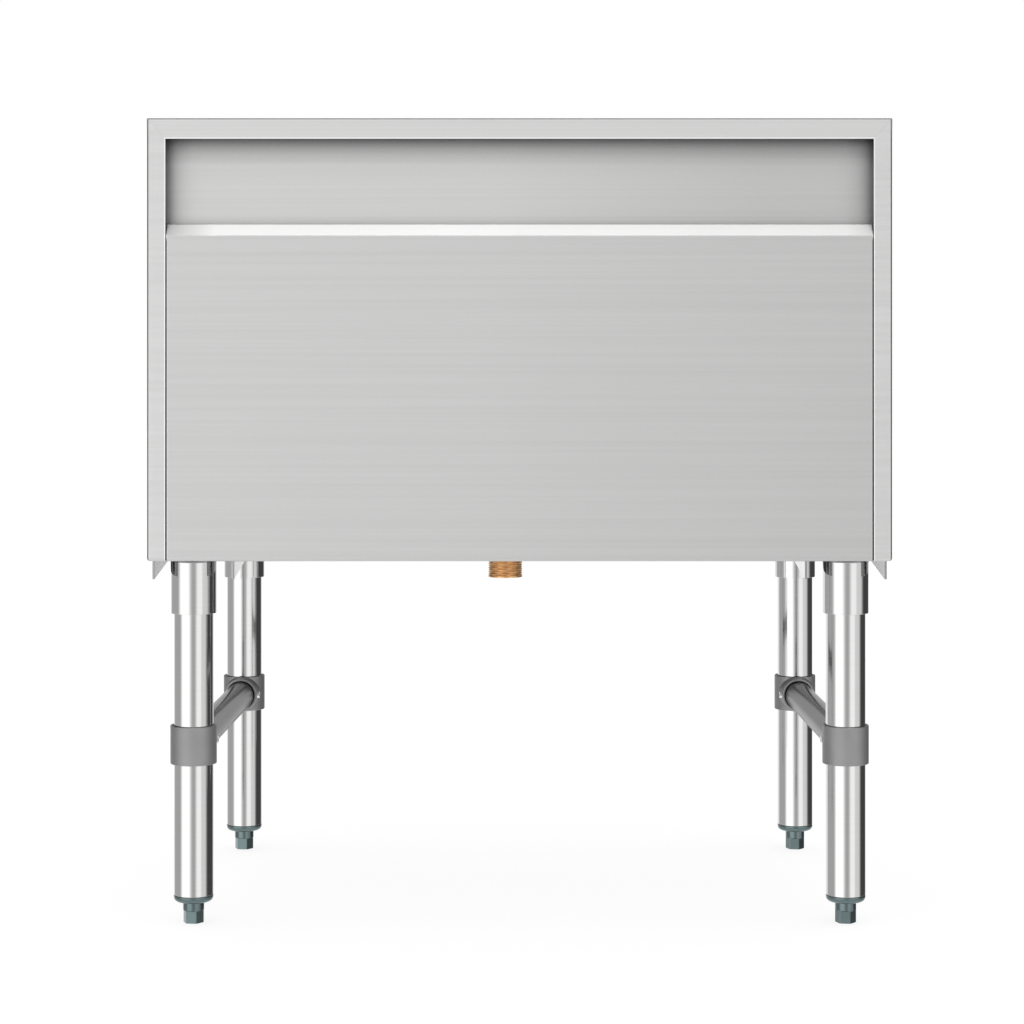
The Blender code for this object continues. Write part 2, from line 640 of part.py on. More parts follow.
def make_drain():
    """Brass drain: flange in the floor seat, bowl, threaded nipple through the pan."""
    place_at = (DRAIN_OFFSET, WELL_MIDDLE_Y, 0)
    top = DRAIN_SEAT_Z - DRAIN_SEAT_DEPTH + CLEARANCE + DRAIN_FLANGE_THICKNESS
    under = top - DRAIN_FLANGE_THICKNESS
    bowl_floor = top - DRAIN_BOWL_DEPTH
    neck = bowl_floor - DRAIN_WALL
    tail = UNDERSIDE_Z - DRAIN_NIPPLE_DROP
    ledge_z = top - STRAINER_THICKNESS - CLEARANCE
    ledge_radius = DRAIN_BOWL_RADIUS + STRAINER_LEDGE
    profile = [(ledge_radius, top), (DRAIN_FLANGE_RADIUS - DRAIN_FLANGE_THICKNESS / 2, top),
               (DRAIN_FLANGE_RADIUS, top - DRAIN_FLANGE_THICKNESS / 2), (DRAIN_FLANGE_RADIUS, under),
               (DRAIN_THROAT_RADIUS, under), (DRAIN_THROAT_RADIUS, neck + DRAIN_WALL),
               (DRAIN_NIPPLE_RADIUS, neck - DRAIN_WALL), (DRAIN_NIPPLE_RADIUS, tail),
               (DRAIN_BORE_RADIUS, tail), (DRAIN_BORE_RADIUS, neck),
               (DRAIN_BOWL_RADIUS, bowl_floor + DRAIN_WALL), (DRAIN_BOWL_RADIUS, ledge_z),
               (ledge_radius, ledge_z)]
    place("drain_body", turned("drain_body", profile, DRAIN_SIDES, closed=True), "brass", place_at)

    gasket_top = DRAIN_SEAT_Z - DRAIN_SEAT_DEPTH - SHEET - CLEARANCE
    ring_bore = DRAIN_THROAT_RADIUS + CLEARANCE
    gasket_bottom = gasket_top - GASKET_THICKNESS
    gasket = [(LOCKNUT_RADIUS, gasket_top), (LOCKNUT_RADIUS, gasket_bottom), (ring_bore, gasket_bottom),
              (ring_bore, gasket_top)]
    place("drain_gasket", turned("drain_gasket", gasket, DRAIN_SIDES, closed=True), "gasket", place_at)

    nut_top = gasket_bottom - CLEARANCE
    nut_bottom = nut_top - LOCKNUT_HEIGHT
    nut_profile = [(LOCKNUT_RADIUS, nut_top), (LOCKNUT_RADIUS, nut_bottom), (ring_bore, nut_bottom),
                   (ring_bore, nut_top)]
    place("drain_locknut", turned("drain_locknut", nut_profile, DRAIN_SIDES, closed=True), "brass", place_at)

    strainer_radius = ledge_radius - CLEARANCE
    disc = cylinder(strainer_radius, 0, STRAINER_THICKNESS, DRAIN_SIDES)
    tools = []
    centres = [(0, 0)]
    for ring in range(1, STRAINER_RINGS + 1):
        count = STRAINER_FIRST_RING_HOLES * ring
        for index in range(count):
            angle = math.tau * index / count
            reach = STRAINER_RING_RADIUS * ring
            centres.append((reach * math.cos(angle), reach * math.sin(angle)))
    for centre in centres:
        hole = cylinder(STRAINER_HOLE_RADIUS, -OVERRUN, OVERRUN, HOLE_SIDES, centre)
        tools.append((mesh_from(hole, "strainer_hole"), "DIFFERENCE", Matrix()))
    strainer = shaped_mesh("drain_strainer", mesh_from(disc, "drain_strainer"), tools)
    lift = axis_empty("strainer_lift_axis", (DRAIN_OFFSET, WELL_MIDDLE_Y, ledge_z + CLEARANCE))
    place("drain_strainer", strainer, "screw", parent=lift)


def make_cover_rail(node, side, wall_y):
    """Stepped rail on the well's wall: an upper and a lower shelf for the covers."""
    leg = CLEARANCE + SHEET
    points = [(0, leg, RIM_Z - BEND_RADIUS), (0, leg, UPPER_SHELF_Z), (0, leg + RAIL_SHELF, UPPER_SHELF_Z),
              (0, leg + RAIL_SHELF, LOWER_SHELF_Z), (0, leg + 2 * RAIL_SHELF, LOWER_SHELF_Z),
              (0, leg + 2 * RAIL_SHELF, LOWER_SHELF_Z - RAIL_LIP)]
    path = rounded_path(points, [RAIL_BEND_RADIUS] * 4, BEND_STEPS)
    half = WELL_HALF_LENGTH - WELL_CORNER_RADIUS
    placed = [Vector((-half, wall_y - side * point.y, point.z)) for point in path]
    bm = swept_sheet(placed, (2 * half, 0, 0))
    show_side_to(bm, Vector((0, wall_y - side * BODY_DEPTH, TOP_Z + BODY_DEPTH)))
    rail = place(node, smooth_round(mesh_from(bm, node)), "well_sheet")
    thicken(rail, SHEET)


def make_cover(node, pull_node, side, shelf_z, shelf_reach):
    """Sliding cover, a shallow pan with a finger pull near its outer end."""
    half_width = WELL_HALF_WIDTH - shelf_reach - COVER_SIDE_GAP
    inner_end = -side * COVER_OVERLAP / 2
    middle_x = inner_end + side * COVER_LENGTH / 2
    origin = axis_empty(node + "_slide_axis", (middle_x, WELL_MIDDLE_Y, shelf_z + CLEARANCE))
    skirt = rounded_rectangle(COVER_LENGTH / 2, half_width, COVER_CORNER_RADIUS, 0)
    rings = [skirt]
    for step in range(BEND_STEPS + 1):
        angle = math.radians(90) * step / BEND_STEPS
        inset = COVER_EDGE_RADIUS * (1 - math.cos(angle))
        rings.append(rounded_rectangle(COVER_LENGTH / 2 - inset, half_width - inset,
                                       COVER_CORNER_RADIUS - inset,
                                       COVER_HEIGHT - COVER_EDGE_RADIUS * (1 - math.sin(angle))))
    bm = loft(rings, cap_last=True)
    show_side_to(bm, Vector((0, 0, BODY_WIDTH * 4)))
    cover = place(node, smooth_round(mesh_from(bm, node)), "brushed_sheet", parent=origin)
    thicken(cover, SHEET)
    pull_x = side * (COVER_LENGTH / 2 - PULL_INSET)
    hole = cylinder(PULL_RADIUS + CLEARANCE, -OVERRUN, COVER_HEIGHT + OVERRUN, DRAIN_SIDES,
                    (middle_x + pull_x, WELL_MIDDLE_Y))
    tool = cutter(node + "_pull_cutter", mesh_from(hole, node + "_pull_cutter"), (0, 0, shelf_z + CLEARANCE))
    shape_with(cover, tool)

    rim_top = COVER_HEIGHT + CLEARANCE + PULL_SHEET
    rim_radius = PULL_RADIUS + PULL_RIM
    floor_top = rim_top - PULL_DEPTH
    inner = PULL_RADIUS - PULL_SHEET
    profile = [(0, floor_top - PULL_SHEET), (inner - PULL_SHEET, floor_top - PULL_SHEET),
               (PULL_RADIUS, floor_top + PULL_SHEET), (PULL_RADIUS, rim_top - PULL_SHEET),
               (rim_radius, rim_top - PULL_SHEET), (rim_radius, rim_top - PULL_SHEET / 2),
               (rim_radius - PULL_SHEET / 2, rim_top), (inner, rim_top), (inner, floor_top + PULL_SHEET),
               (inner - PULL_SHEET, floor_top), (0, floor_top)]
    pull = turned(pull_node, profile[::-1], DRAIN_SIDES)
    place(pull_node, pull, "well_sheet", (pull_x, 0, 0), parent=origin)


def make_bracket(node, x, y, side, end):
    """Lipped channel under the body, deep at the leg and shallow at its toe.

    side is the sign of X and end the sign of Y of the corner that it stands at.
    """
    outer = x + side * BRACKET_OUTER_REACH
    inner = x - side * BRACKET_INNER_REACH
    lip = side * BRACKET_LIP
    heel_y = y + end * (SOCKET_RADIUS + CLEARANCE)
    toe_y = heel_y - end * BRACKET_LENGTH
    sections = []
    for station_y, depth in ((heel_y, BRACKET_HEEL_DEPTH), (toe_y, BRACKET_TOE_DEPTH)):
        low = UNDERSIDE_Z - depth
        points = [(outer - lip, station_y, low), (outer, station_y, low), (outer, station_y, BRACKET_TOP_Z),
                  (inner, station_y, BRACKET_TOP_Z), (inner, station_y, low), (inner + lip, station_y, low)]
        sections.append(rounded_path(points, [BRACKET_BEND_RADIUS] * 4, BEND_STEPS))
    bm = bmesh.new()
    heel, toe = [[bm.verts.new(point) for point in section] for section in sections]
    for index in range(len(heel) - 1):
        bm.faces.new((heel[index], heel[index + 1], toe[index + 1], toe[index]))
    show_side_to(bm, Vector((x, y, TOP_Z * 4)))
    bracket = place(node, smooth_round(mesh_from(bm, node)), "galvanised")
    thicken(bracket, BRACKET_THICKNESS)


def screw_mesh(length):
    """Set screw along +Z from its tip, with chamfered ends."""
    profile = [(0, length), (SCREW_RADIUS - SCREW_EDGE, length), (SCREW_RADIUS, length - SCREW_EDGE),
               (SCREW_RADIUS, SCREW_EDGE), (SCREW_RADIUS - SCREW_EDGE, 0), (0, 0)]
    return turned("set_screw", profile, SMALL_SIDES)


def socket_mesh():
    """Cup for the leg's top, with a threaded hole for its set screw on the +Y side."""
    drop = SOCKET_TOP_Z - SOCKET_BOTTOM_Z
    ceiling = -SOCKET_CROWN
    profile = [(0, 0), (SOCKET_RADIUS - SOCKET_CHAMFER, 0), (SOCKET_RADIUS, -SOCKET_CHAMFER),
               (SOCKET_RADIUS, SOCKET_CHAMFER - drop), (SOCKET_RADIUS - SOCKET_CHAMFER, -drop),
               (LEG_BORE_RADIUS, -drop), (LEG_BORE_RADIUS, ceiling), (0, ceiling)]
    blank = turned("leg_socket", profile, TUBE_SIDES)
    hole = cylinder(SCREW_RADIUS + CLEARANCE, 0, SOCKET_RADIUS + OVERRUN, SMALL_SIDES)
    matrix = Matrix.Translation((0, 0, -SOCKET_SCREW_DROP)) @ Matrix.Rotation(-math.pi / 2, 4, "X")
    return shaped_mesh("leg_socket", blank, [(mesh_from(hole, "socket_hole"), "DIFFERENCE", matrix)])


def collar_mesh():
    """Clamp collar with a boss for the cross rail along +Y and a screw hole along +X."""
    half = COLLAR_HEIGHT / 2
    mouth = COLLAR_RADIUS - COLLAR_MOUTH_WALL
    profile = [(0, half), (COLLAR_RADIUS - COLLAR_EDGE, half), (COLLAR_RADIUS, half - COLLAR_EDGE),
               (COLLAR_RADIUS, COLLAR_EDGE - half), (COLLAR_RADIUS - COLLAR_EDGE, -half), (0, -half)]
    blank = turned("collar", profile, TUBE_SIDES)
    bore_profile = [(0, half + OVERRUN), (mouth, half + OVERRUN), (mouth, half),
                    (LEG_BORE_RADIUS, half - COLLAR_MOUTH_DEPTH), (LEG_BORE_RADIUS, COLLAR_MOUTH_DEPTH - half),
                    (mouth, -half), (mouth, -half - OVERRUN), (0, -half - OVERRUN)]
    leg_bore = turned("leg_bore", bore_profile, TUBE_SIDES)
    along = Matrix.Rotation(-math.pi / 2, 4, "X")
    across = Matrix.Translation((0, COLLAR_SCREW_REACH, 0)) @ Matrix.Rotation(math.pi / 2, 4, "Y")
    boss_profile = [(0, BOSS_REACH), (BOSS_RADIUS - BOSS_EDGE, BOSS_REACH),
                    (BOSS_RADIUS, BOSS_REACH - BOSS_EDGE), (BOSS_RADIUS, LEG_RADIUS / 2), (0, LEG_RADIUS / 2)]
    boss = turned("collar_boss", boss_profile, TUBE_SIDES)
    rail_bore = cylinder(CROSS_RAIL_RADIUS + CLEARANCE, LEG_BORE_RADIUS + COLLAR_BACK_WALL,
                         BOSS_REACH + OVERRUN, TUBE_SIDES)
    screw_hole = cylinder(SCREW_RADIUS + CLEARANCE, CROSS_RAIL_RADIUS / 2, BOSS_RADIUS + OVERRUN, SMALL_SIDES)
    tools = [(boss, "UNION", along), (leg_bore, "DIFFERENCE", Matrix()),
             (mesh_from(rail_bore, "rail_bore"), "DIFFERENCE", along),
             (mesh_from(screw_hole, "screw_hole"), "DIFFERENCE", across)]
    return shaped_mesh("collar", blank, tools)


def tube_mesh(name, radius, wall, length):
    """Round tube along +Z from its lower end."""
    profile = [(radius, length), (radius, 0), (radius - wall, 0), (radius - wall, length)]
    return turned(name, profile, TUBE_SIDES, closed=True)


def insert_mesh():
    """Foot insert: round shoulder under the tube's end, plug inside it, threaded bore."""
    shoulder = INSERT_TOP_Z - INSERT_BOTTOM_Z
    plug = LEG_RADIUS - LEG_WALL - CLEARANCE
    bore = FOOT_STUD_RADIUS + CLEARANCE
    sweep = shoulder - INSERT_SHOULDER_BAND
    profile = [(bore, INSERT_PLUG_LENGTH), (plug - INSERT_PLUG_TAPER, INSERT_PLUG_LENGTH),
               (plug, INSERT_PLUG_LENGTH - INSERT_PLUG_TAPER), (plug, 0), (LEG_RADIUS, 0)]
    for step in range(BEND_STEPS + 1):
        angle = math.radians(90) * step / BEND_STEPS
        profile.append((LEG_RADIUS - INSERT_SHOULDER_REACH * (1 - math.cos(angle)),
                        -INSERT_SHOULDER_BAND - sweep * math.sin(angle)))
    profile.append((bore, -shoulder))
    return turned("foot_insert", profile, FOOT_SIDES, closed=True)


def foot_mesh():
    """Foot with a stud, a round neck and a hexagon milled on its lower end."""
    neck_top = INSERT_BOTTOM_Z - CLEARANCE
    profile = [(0, neck_top + FOOT_STUD_LENGTH), (FOOT_STUD_RADIUS - FOOT_EDGE, neck_top + FOOT_STUD_LENGTH),
               (FOOT_STUD_RADIUS, neck_top + FOOT_STUD_LENGTH - FOOT_EDGE), (FOOT_STUD_RADIUS, neck_top),
               (FOOT_NECK_RADIUS, neck_top), (FOOT_NECK_RADIUS, FOOT_EDGE),
               (FOOT_NECK_RADIUS - FOOT_EDGE, 0), (0, 0)]
    blank = turned("foot", profile, FOOT_SIDES)
    corner = FOOT_HEX_FLAT / math.cos(math.radians(30))
    turn = math.radians(FOOT_TURN_DEGREES) / math.tau * 6
    hexagon = circle_ring(corner, 0, (0, 0), 6, turn)
    outside = circle_ring(FOOT_NECK_RADIUS + OVERRUN, 0, (0, 0), 6, turn)
    low = Vector((0, 0, -OVERRUN))
    high = Vector((0, 0, FOOT_HEX_HEIGHT))
    rings = [[point + low for point in hexagon], [point + low for point in outside],
             [point + high for point in outside], [point + high for point in hexagon]]
    flats = mesh_from(loft(rings, endless=True), "foot_flats")
    return shaped_mesh("foot", blank, [(flats, "DIFFERENCE", Matrix())])


def make_legs():
    """Four legs with their brackets, sockets, collars, inserts and feet, and two rails."""
    socket = socket_mesh()
    collar = collar_mesh()
    leg = tube_mesh("leg_tube", LEG_RADIUS, LEG_WALL, LEG_TOP_Z - LEG_END_HEIGHT)
    insert = insert_mesh()
    foot = foot_mesh()
    socket_screw = screw_mesh(SOCKET_RADIUS + SCREW_STAND_OUT - LEG_BORE_RADIUS)
    collar_screw = screw_mesh(BOSS_RADIUS + SCREW_STAND_OUT - CROSS_RAIL_RADIUS - CLEARANCE)
    run = Vector((FRONT_LEG_X - REAR_LEG_X, FRONT_LEG_Y - REAR_LEG_Y, 0))
    toe_in = math.atan2(run.x, run.y)
    rail_start = LEG_BORE_RADIUS + COLLAR_BACK_WALL + CLEARANCE
    rail = tube_mesh("cross_rail", CROSS_RAIL_RADIUS, CROSS_RAIL_WALL, run.length - 2 * rail_start)
    corners = [("rear_left", -1, -1), ("rear_right", 1, -1), ("front_left", -1, 1), ("front_right", 1, 1)]
    for corner, side, end in corners:
        x = side * (REAR_LEG_X if end < 0 else FRONT_LEG_X)
        y = REAR_LEG_Y if end < 0 else FRONT_LEG_Y
        facing = 0 if end < 0 else math.pi
        make_bracket(corner + "_leg_bracket", x, y, side, end)
        foot_axis = axis_empty(corner + "_foot_axis", (x, y, 0))
        place(corner + "_leg_socket", socket.copy(), "socket", (x, y, SOCKET_TOP_Z), (0, 0, facing))
        place(corner + "_leg_tube", leg.copy(), "tube", (x, y, LEG_END_HEIGHT))
        place(corner + "_foot_insert", insert.copy(), "foot", (x, y, INSERT_TOP_Z))
        place(corner + "_foot", foot.copy(), "foot", parent=foot_axis)
        screw_y = y - end * LEG_BORE_RADIUS
        screw_z = SOCKET_TOP_Z - SOCKET_SCREW_DROP
        place(corner + "_socket_screw", socket_screw.copy(), "screw", (x, screw_y, screw_z),
              (end * math.pi / 2, 0, 0))

        turn = facing - side * toe_in
        clamp = axis_empty(corner + "_clamp_axis", (x, y, COLLAR_MIDDLE_HEIGHT), (0, 0, turn))
        mesh = collar.copy()
        inward = -side if end < 0 else side
        if inward < 0:
            mesh.transform(Matrix.Scale(-1, 4, (1, 0, 0)))
            mesh.flip_normals()
        place(corner + "_collar", mesh, "collar", parent=clamp)
        screw_x = inward * (CROSS_RAIL_RADIUS + CLEARANCE)
        place(corner + "_collar_screw", collar_screw.copy(), "screw", (screw_x, COLLAR_SCREW_REACH, 0),
              (0, inward * math.pi / 2, 0), parent=clamp)
        if end < 0:
            place(corner.split("_")[1] + "_cross_rail", rail.copy(), "tube", (0, rail_start, 0),
                  (-math.pi / 2, 0, 0), parent=clamp)


make_top()
make_side_panel("left_side_panel", -1)
make_side_panel("right_side_panel", 1)
make_rear_panel()
make_front_panel()
make_bottom_pan()
make_liner()
make_foam()
make_drain()
make_cover_rail("rear_cover_rail", -1, WELL_BACK_Y)
make_cover_rail("front_cover_rail", 1, WELL_FRONT_Y)
make_cover("left_cover", "left_cover_pull", -1, UPPER_SHELF_Z, RAIL_BACK)
make_cover("right_cover", "right_cover_pull", 1, LOWER_SHELF_Z, RAIL_BACK + RAIL_SHELF)
make_legs()
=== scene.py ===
import math
from collections import namedtuple

import bmesh
import bpy
import numpy as np
from bpy.props import FloatProperty, FloatVectorProperty, IntProperty, PointerProperty
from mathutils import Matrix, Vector


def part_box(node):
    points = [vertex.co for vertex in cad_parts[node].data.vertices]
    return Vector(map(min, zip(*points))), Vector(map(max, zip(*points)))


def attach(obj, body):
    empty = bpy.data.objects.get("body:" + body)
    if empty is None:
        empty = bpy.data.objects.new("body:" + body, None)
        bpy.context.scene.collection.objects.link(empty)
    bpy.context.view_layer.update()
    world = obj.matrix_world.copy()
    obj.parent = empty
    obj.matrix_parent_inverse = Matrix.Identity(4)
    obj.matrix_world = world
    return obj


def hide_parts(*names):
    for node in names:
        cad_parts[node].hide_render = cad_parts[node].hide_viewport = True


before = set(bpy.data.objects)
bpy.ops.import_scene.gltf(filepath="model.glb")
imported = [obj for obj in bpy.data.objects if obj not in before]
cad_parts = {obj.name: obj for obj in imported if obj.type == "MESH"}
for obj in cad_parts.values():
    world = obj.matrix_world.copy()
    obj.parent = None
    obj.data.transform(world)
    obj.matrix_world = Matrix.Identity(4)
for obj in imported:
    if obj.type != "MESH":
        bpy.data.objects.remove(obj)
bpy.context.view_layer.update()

bl_info = {
    "name": "Underbar ice bin",
    "version": (1, 0, 0),
    "blender": (4, 5, 0),
    "location": "3D View > Sidebar > Ice bin",
    "description": "Stainless underbar ice bin on tubular legs, with sliding covers and a brass drain",
    "category": "Add Mesh",
}


def box_of(node):
    """Lowest and highest corner of a CAD node, as arrays."""
    low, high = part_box(node)
    return np.array(low), np.array(high)


# Places from the frame, and lengths in metres that several pieces share
CASING_LOW, CASING_HIGH = box_of("right_side_panel")
BACK, TOP, HALF_WIDTH = CASING_LOW[1], CASING_HIGH[2], CASING_HIGH[0]
RAIL_LOW, RAIL_HIGH = box_of("left_cross_rail")
DECK = 0.715
WELL_RIM = 0.012
NARROW_EDGE = 0.0019
COLLAR_WEB = 0.002
CLEARANCE = 0.0003
SLIVER = 0.00002
MERGE = 1e-6
VIEW_HEIGHT = 9.0


# Surfaces

def unit(vector):
    return vector / np.linalg.norm(vector)


def turns(count):
    """Equal angles once round, from zero."""
    return math.tau * np.arange(count) / count


def arc_path(corners, radii, steps=6, closed=False):
    """Flat path with round corners, and the left-hand normal along it.

    A corner that turns by an angle becomes an arc that touches both of its sides: the arc's centre less
    its radius times the normal, while the normal turns through that angle. A corner with no radius keeps
    one point, and its normal is lengthened by one over the cosine of half the angle, so that an offset
    keeps its distance.
    """
    corners = np.asarray(corners, float)
    radii = np.broadcast_to(np.asarray(radii, float), len(corners))
    points, normals = [], []
    for place, corner in enumerate(corners):
        before = corners[place - 1]
        after = corners[(place + 1) % len(corners)]
        first = unit(corner - before)
        last = unit(after - corner)
        if not closed and place == 0:
            first = last
        if not closed and place == len(corners) - 1:
            last = first
        turn = math.atan2(first[0] * last[1] - first[1] * last[0], first @ last)
        rounded = radii[place] > 0 and abs(turn) > MERGE
        angle = turn * (np.linspace(0, 1, steps + 1) if rounded else np.array([1 / 2]))
        across = np.stack([-first[1] * np.cos(angle) - first[0] * np.sin(angle),
                           first[0] * np.cos(angle) - first[1] * np.sin(angle)], 1)
        if rounded:
            bow = math.copysign(radii[place], turn)
            start = corner - first * radii[place] * math.tan(abs(turn) / 2)
            centre = start + bow * np.array([-first[1], first[0]])
            points.append(centre - bow * across)
            normals.append(across)
        else:
            points.append(corner[None])
            normals.append(across / math.cos(turn / 2))
    return np.concatenate(points), np.concatenate(normals)


def rounded_profile(corners, radii, steps=4, closed=False):
    """Points of a flat path with round corners."""
    return arc_path(corners, radii, steps, closed)[0]


def rounded_rectangle(half, radius, centre, arc=8, runs=(8, 6)):
    """Outline of a rectangle with round corners, with the same number of points whatever its size.

    Each corner is a quarter circle of the radius, and each straight side is cut into equal runs.
    """
    signs = np.array([(1, 1), (-1, 1), (-1, -1), (1, -1)], float)
    angle = np.arange(4)[:, None] * math.pi / 2 + np.linspace(0, math.pi / 2, arc + 1)[None]
    arcs = np.stack([signs[:, :1] * (half[0] - radius) + radius * np.cos(angle),
                     signs[:, 1:] * (half[1] - radius) + radius * np.sin(angle)], -1)
    following = np.roll(arcs, -1, 0)[:, 0]
    sides = []
    for number in range(4):
        count = runs[number % 2]
        part = (np.arange(1, count) / count)[:, None]
        straight = arcs[number, -1] * (1 - part) + following[number] * part
        sides.append(np.concatenate([arcs[number], straight]))
    return np.concatenate(sides) + centre


def raised(flat, height):
    """Points of a flat outline, lifted to a height."""
    return np.concatenate([flat, np.full((len(flat), 1), height)], 1)


def rectangle_rings(half, radius, centre, insets, heights, arc=8, runs=(8, 6)):
    """Rings of a rectangle with round corners, one for each inset and height.

    An inset makes the half sides and the corner radius smaller by the same length.
    """
    return [raised(rounded_rectangle(half - inset, radius - inset, centre, arc, runs), height)
            for inset, height in zip(insets, heights)]


def quarter_fold(radius, steps):
    """Inset and drop along a quarter circle that goes from upright to level.

    The inset is the radius times one less the cosine, the drop the radius times one less the sine.
    """
    angle = np.linspace(0, math.pi / 2, steps + 1)
    return radius * (1 - np.cos(angle)), radius * (1 - np.sin(angle))


def bearings(outline, centre):
    """Unit vectors from a centre to the points of a flat outline."""
    away = outline - centre
    return away / np.linalg.norm(away, axis=1)[:, None]


def round_rows(radius, height, angle, centre=(0.0, 0.0)):
    """Rows of points round an upright axis, with a radius and height for each row or each point.

    x is the radius times the cosine of the angle, y the radius times its sine, and z the height.
    """
    x, y = centre[0] + radius * np.cos(angle), centre[1] + radius * np.sin(angle)
    return np.stack(np.broadcast_arrays(x, y, height), -1)


def stacked_rings(rows, angle, centre=(0.0, 0.0)):
    """Rows round an upright axis from pairs of radius and height, a radius being one number or an array."""
    radius = np.stack([np.broadcast_to(ring, len(angle)) for ring, height in rows])
    height = np.array([height for ring, height in rows])[:, None]
    return round_rows(radius, height, angle, centre)


def thread_wave(heights, pitch, angle):
    """Triangular wave along a thread, between 0 and 1 over each pitch, of the height less the angle."""
    turn = (heights[:, None] / pitch - angle / math.tau) % 1.0
    return np.abs(turn * 2 - 1)


def grid_quads(rows, columns, rows_close=False, columns_close=False):
    """Quads of a grid of points numbered row by row; a closed direction runs back to its first line."""
    row = np.arange(rows if rows_close else rows - 1)[:, None]
    column = np.arange(columns if columns_close else columns - 1)[None]
    below = (row + 1) % rows * columns
    right = (column + 1) % columns
    row = row * columns
    return np.stack([row + column, row + right, below + right, below + column], -1).reshape(-1, 4)


class Shape:
    """Points and faces of one piece, gathered from several surfaces."""

    def __init__(self):
        self.points = []
        self.faces = []
        self.count = 0

    def grid(self, points, rows_close=False, columns_close=False, capped=False):
        """Add a grid of points, rows by columns; caps close its first and last column with flat faces."""
        rows, columns = points.shape[:2]
        number = np.arange(rows * columns).reshape(rows, columns) + self.count
        self.faces += (grid_quads(rows, columns, rows_close, columns_close) + self.count).tolist()
        if capped:
            self.faces += [number[:, 0].tolist(), number[:, -1].tolist()]
        self.points.append(points.reshape(-1, 3))
        self.count += rows * columns
        return self

    def turned(self, profile, centre=(0.0, 0.0), steps=64, closed=False):
        """Add the surface of a profile of radius and height, turned round an upright axis."""
        rows = round_rows(profile[:, :1], profile[:, 1:], turns(steps), centre)
        return self.grid(rows, rows_close=closed, columns_close=True)

    def all_points(self):
        return np.concatenate(self.points)

    def aimed(self, origin, axis, side):
        """Turn the points so that Z lies along the axis and X along the side, and set them at the origin."""
        axis = unit(np.asarray(axis, float))
        side = unit(np.asarray(side, float))
        self.points = [origin + self.all_points() @ np.stack([side, np.cross(axis, side), axis])]
        return self


def tube_shape(radius, wall, low, high, sides, centre=(0.0, 0.0)):
    """Tube round an upright axis, a closed profile with small rounds on its cut ends."""
    end_round = 0.0003
    corners = [(radius, high), (radius, low), (radius - wall, low), (radius - wall, high)]
    return Shape().turned(rounded_profile(corners, end_round, 3, closed=True), centre, sides, closed=True)


# Pieces

def new_object(name, points, faces, material):
    """Object at the origin with a mesh of points and faces and one material."""
    mesh = bpy.data.meshes.new(name)
    mesh.from_pydata(points.reshape(-1, 3).tolist(), [], faces)
    mesh.materials.append(material)
    item = bpy.data.objects.new(name, mesh)
    bpy.context.scene.collection.objects.link(item)
    return item


def make_piece(name, shape, finish, nodes, body="bin", seen_from=None, wall=0.0, edge=0.0,
               sharp=35.0):
    """Put a shape into the scene as one piece that stands for CAD nodes.

    Doubled points are merged, then the faces are turned outwards, or on an open sheet towards a place
    high above the flat point that it is seen from. A wall is then added behind the visible side, and
    edges sharper than 40 degrees get a small round.
    """
    piece = new_object(name, shape.all_points(), shape.faces, finish_material(finish))
    mesh = piece.data
    bm = bmesh.new()
    bm.from_mesh(mesh)
    bmesh.ops.remove_doubles(bm, verts=bm.verts, dist=MERGE)
    bmesh.ops.recalc_face_normals(bm, faces=bm.faces)
    if seen_from is not None:
        eye = Vector((*seen_from, VIEW_HEIGHT))
        seen = sum(face.calc_area() * face.normal.dot((eye - face.calc_center_median()).normalized())
                   for face in bm.faces)
        if seen < 0:
            bmesh.ops.reverse_faces(bm, faces=bm.faces)
    bm.to_mesh(mesh)
    bm.free()
    mesh.shade_smooth()
    mesh.set_sharp_from_angle(angle=math.radians(sharp))
    if wall:
        sheet = piece.modifiers.new("Sheet", "SOLIDIFY")
        sheet.thickness = wall
        sheet.offset = -1
        sheet.use_even_offset = True
    if edge:
        bevel = piece.modifiers.new("Broken edges", "BEVEL")
        bevel.width = edge
        bevel.segments = 2
        bevel.limit_method = "ANGLE"
        bevel.angle_limit = math.radians(40)
    weighted = piece.modifiers.new("Flat faces stay flat", "WEIGHTED_NORMAL")
    weighted.keep_sharp = True
    weighted.weight = 50
    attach(piece, body)
    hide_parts(*nodes)


# Shader nodes

def node_in(tree, kind, inputs=(), **settings):
    """New shader node with its settings and plain input values; a linked input is given as a socket."""
    node = tree.nodes.new(kind)
    for key, value in settings.items():
        setattr(node, key, value)
    for key, value in dict(inputs).items():
        if isinstance(value, bpy.types.NodeSocket):
            tree.links.new(value, node.inputs[key])
        else:
            node.inputs[key].default_value = value
    return node


def maths(tree, operation, *values):
    """Result of a Math node, whose inputs are numbers or sockets."""
    return node_in(tree, "ShaderNodeMath", dict(enumerate(values)), operation=operation).outputs[0]


def varied(tree, mask, low, high):
    """Value that runs from low to high with a mask."""
    inputs = {"Value": mask, "To Min": low, "To Max": high}
    return node_in(tree, "ShaderNodeMapRange", inputs).outputs["Result"]


def ramp(tree, value, start, full, kind="LINEAR"):
    """Value that rises from 0 to 1 between a start and the place where it is full."""
    inputs = {"Value": value, "From Min": start, "From Max": full}
    return node_in(tree, "ShaderNodeMapRange", inputs, interpolation_type=kind).outputs["Result"]


def noise(tree, vector, scale, detail, roughness=0.5, distortion=0.0):
    """Noise with its middle part, from 0.3 to 0.7, spread over 0 to 1."""
    inputs = {"Vector": vector, "Scale": scale, "Detail": detail, "Roughness": roughness,
              "Distortion": distortion}
    return ramp(tree, node_in(tree, "ShaderNodeTexNoise", inputs).outputs["Fac"], 0.3, 0.7)


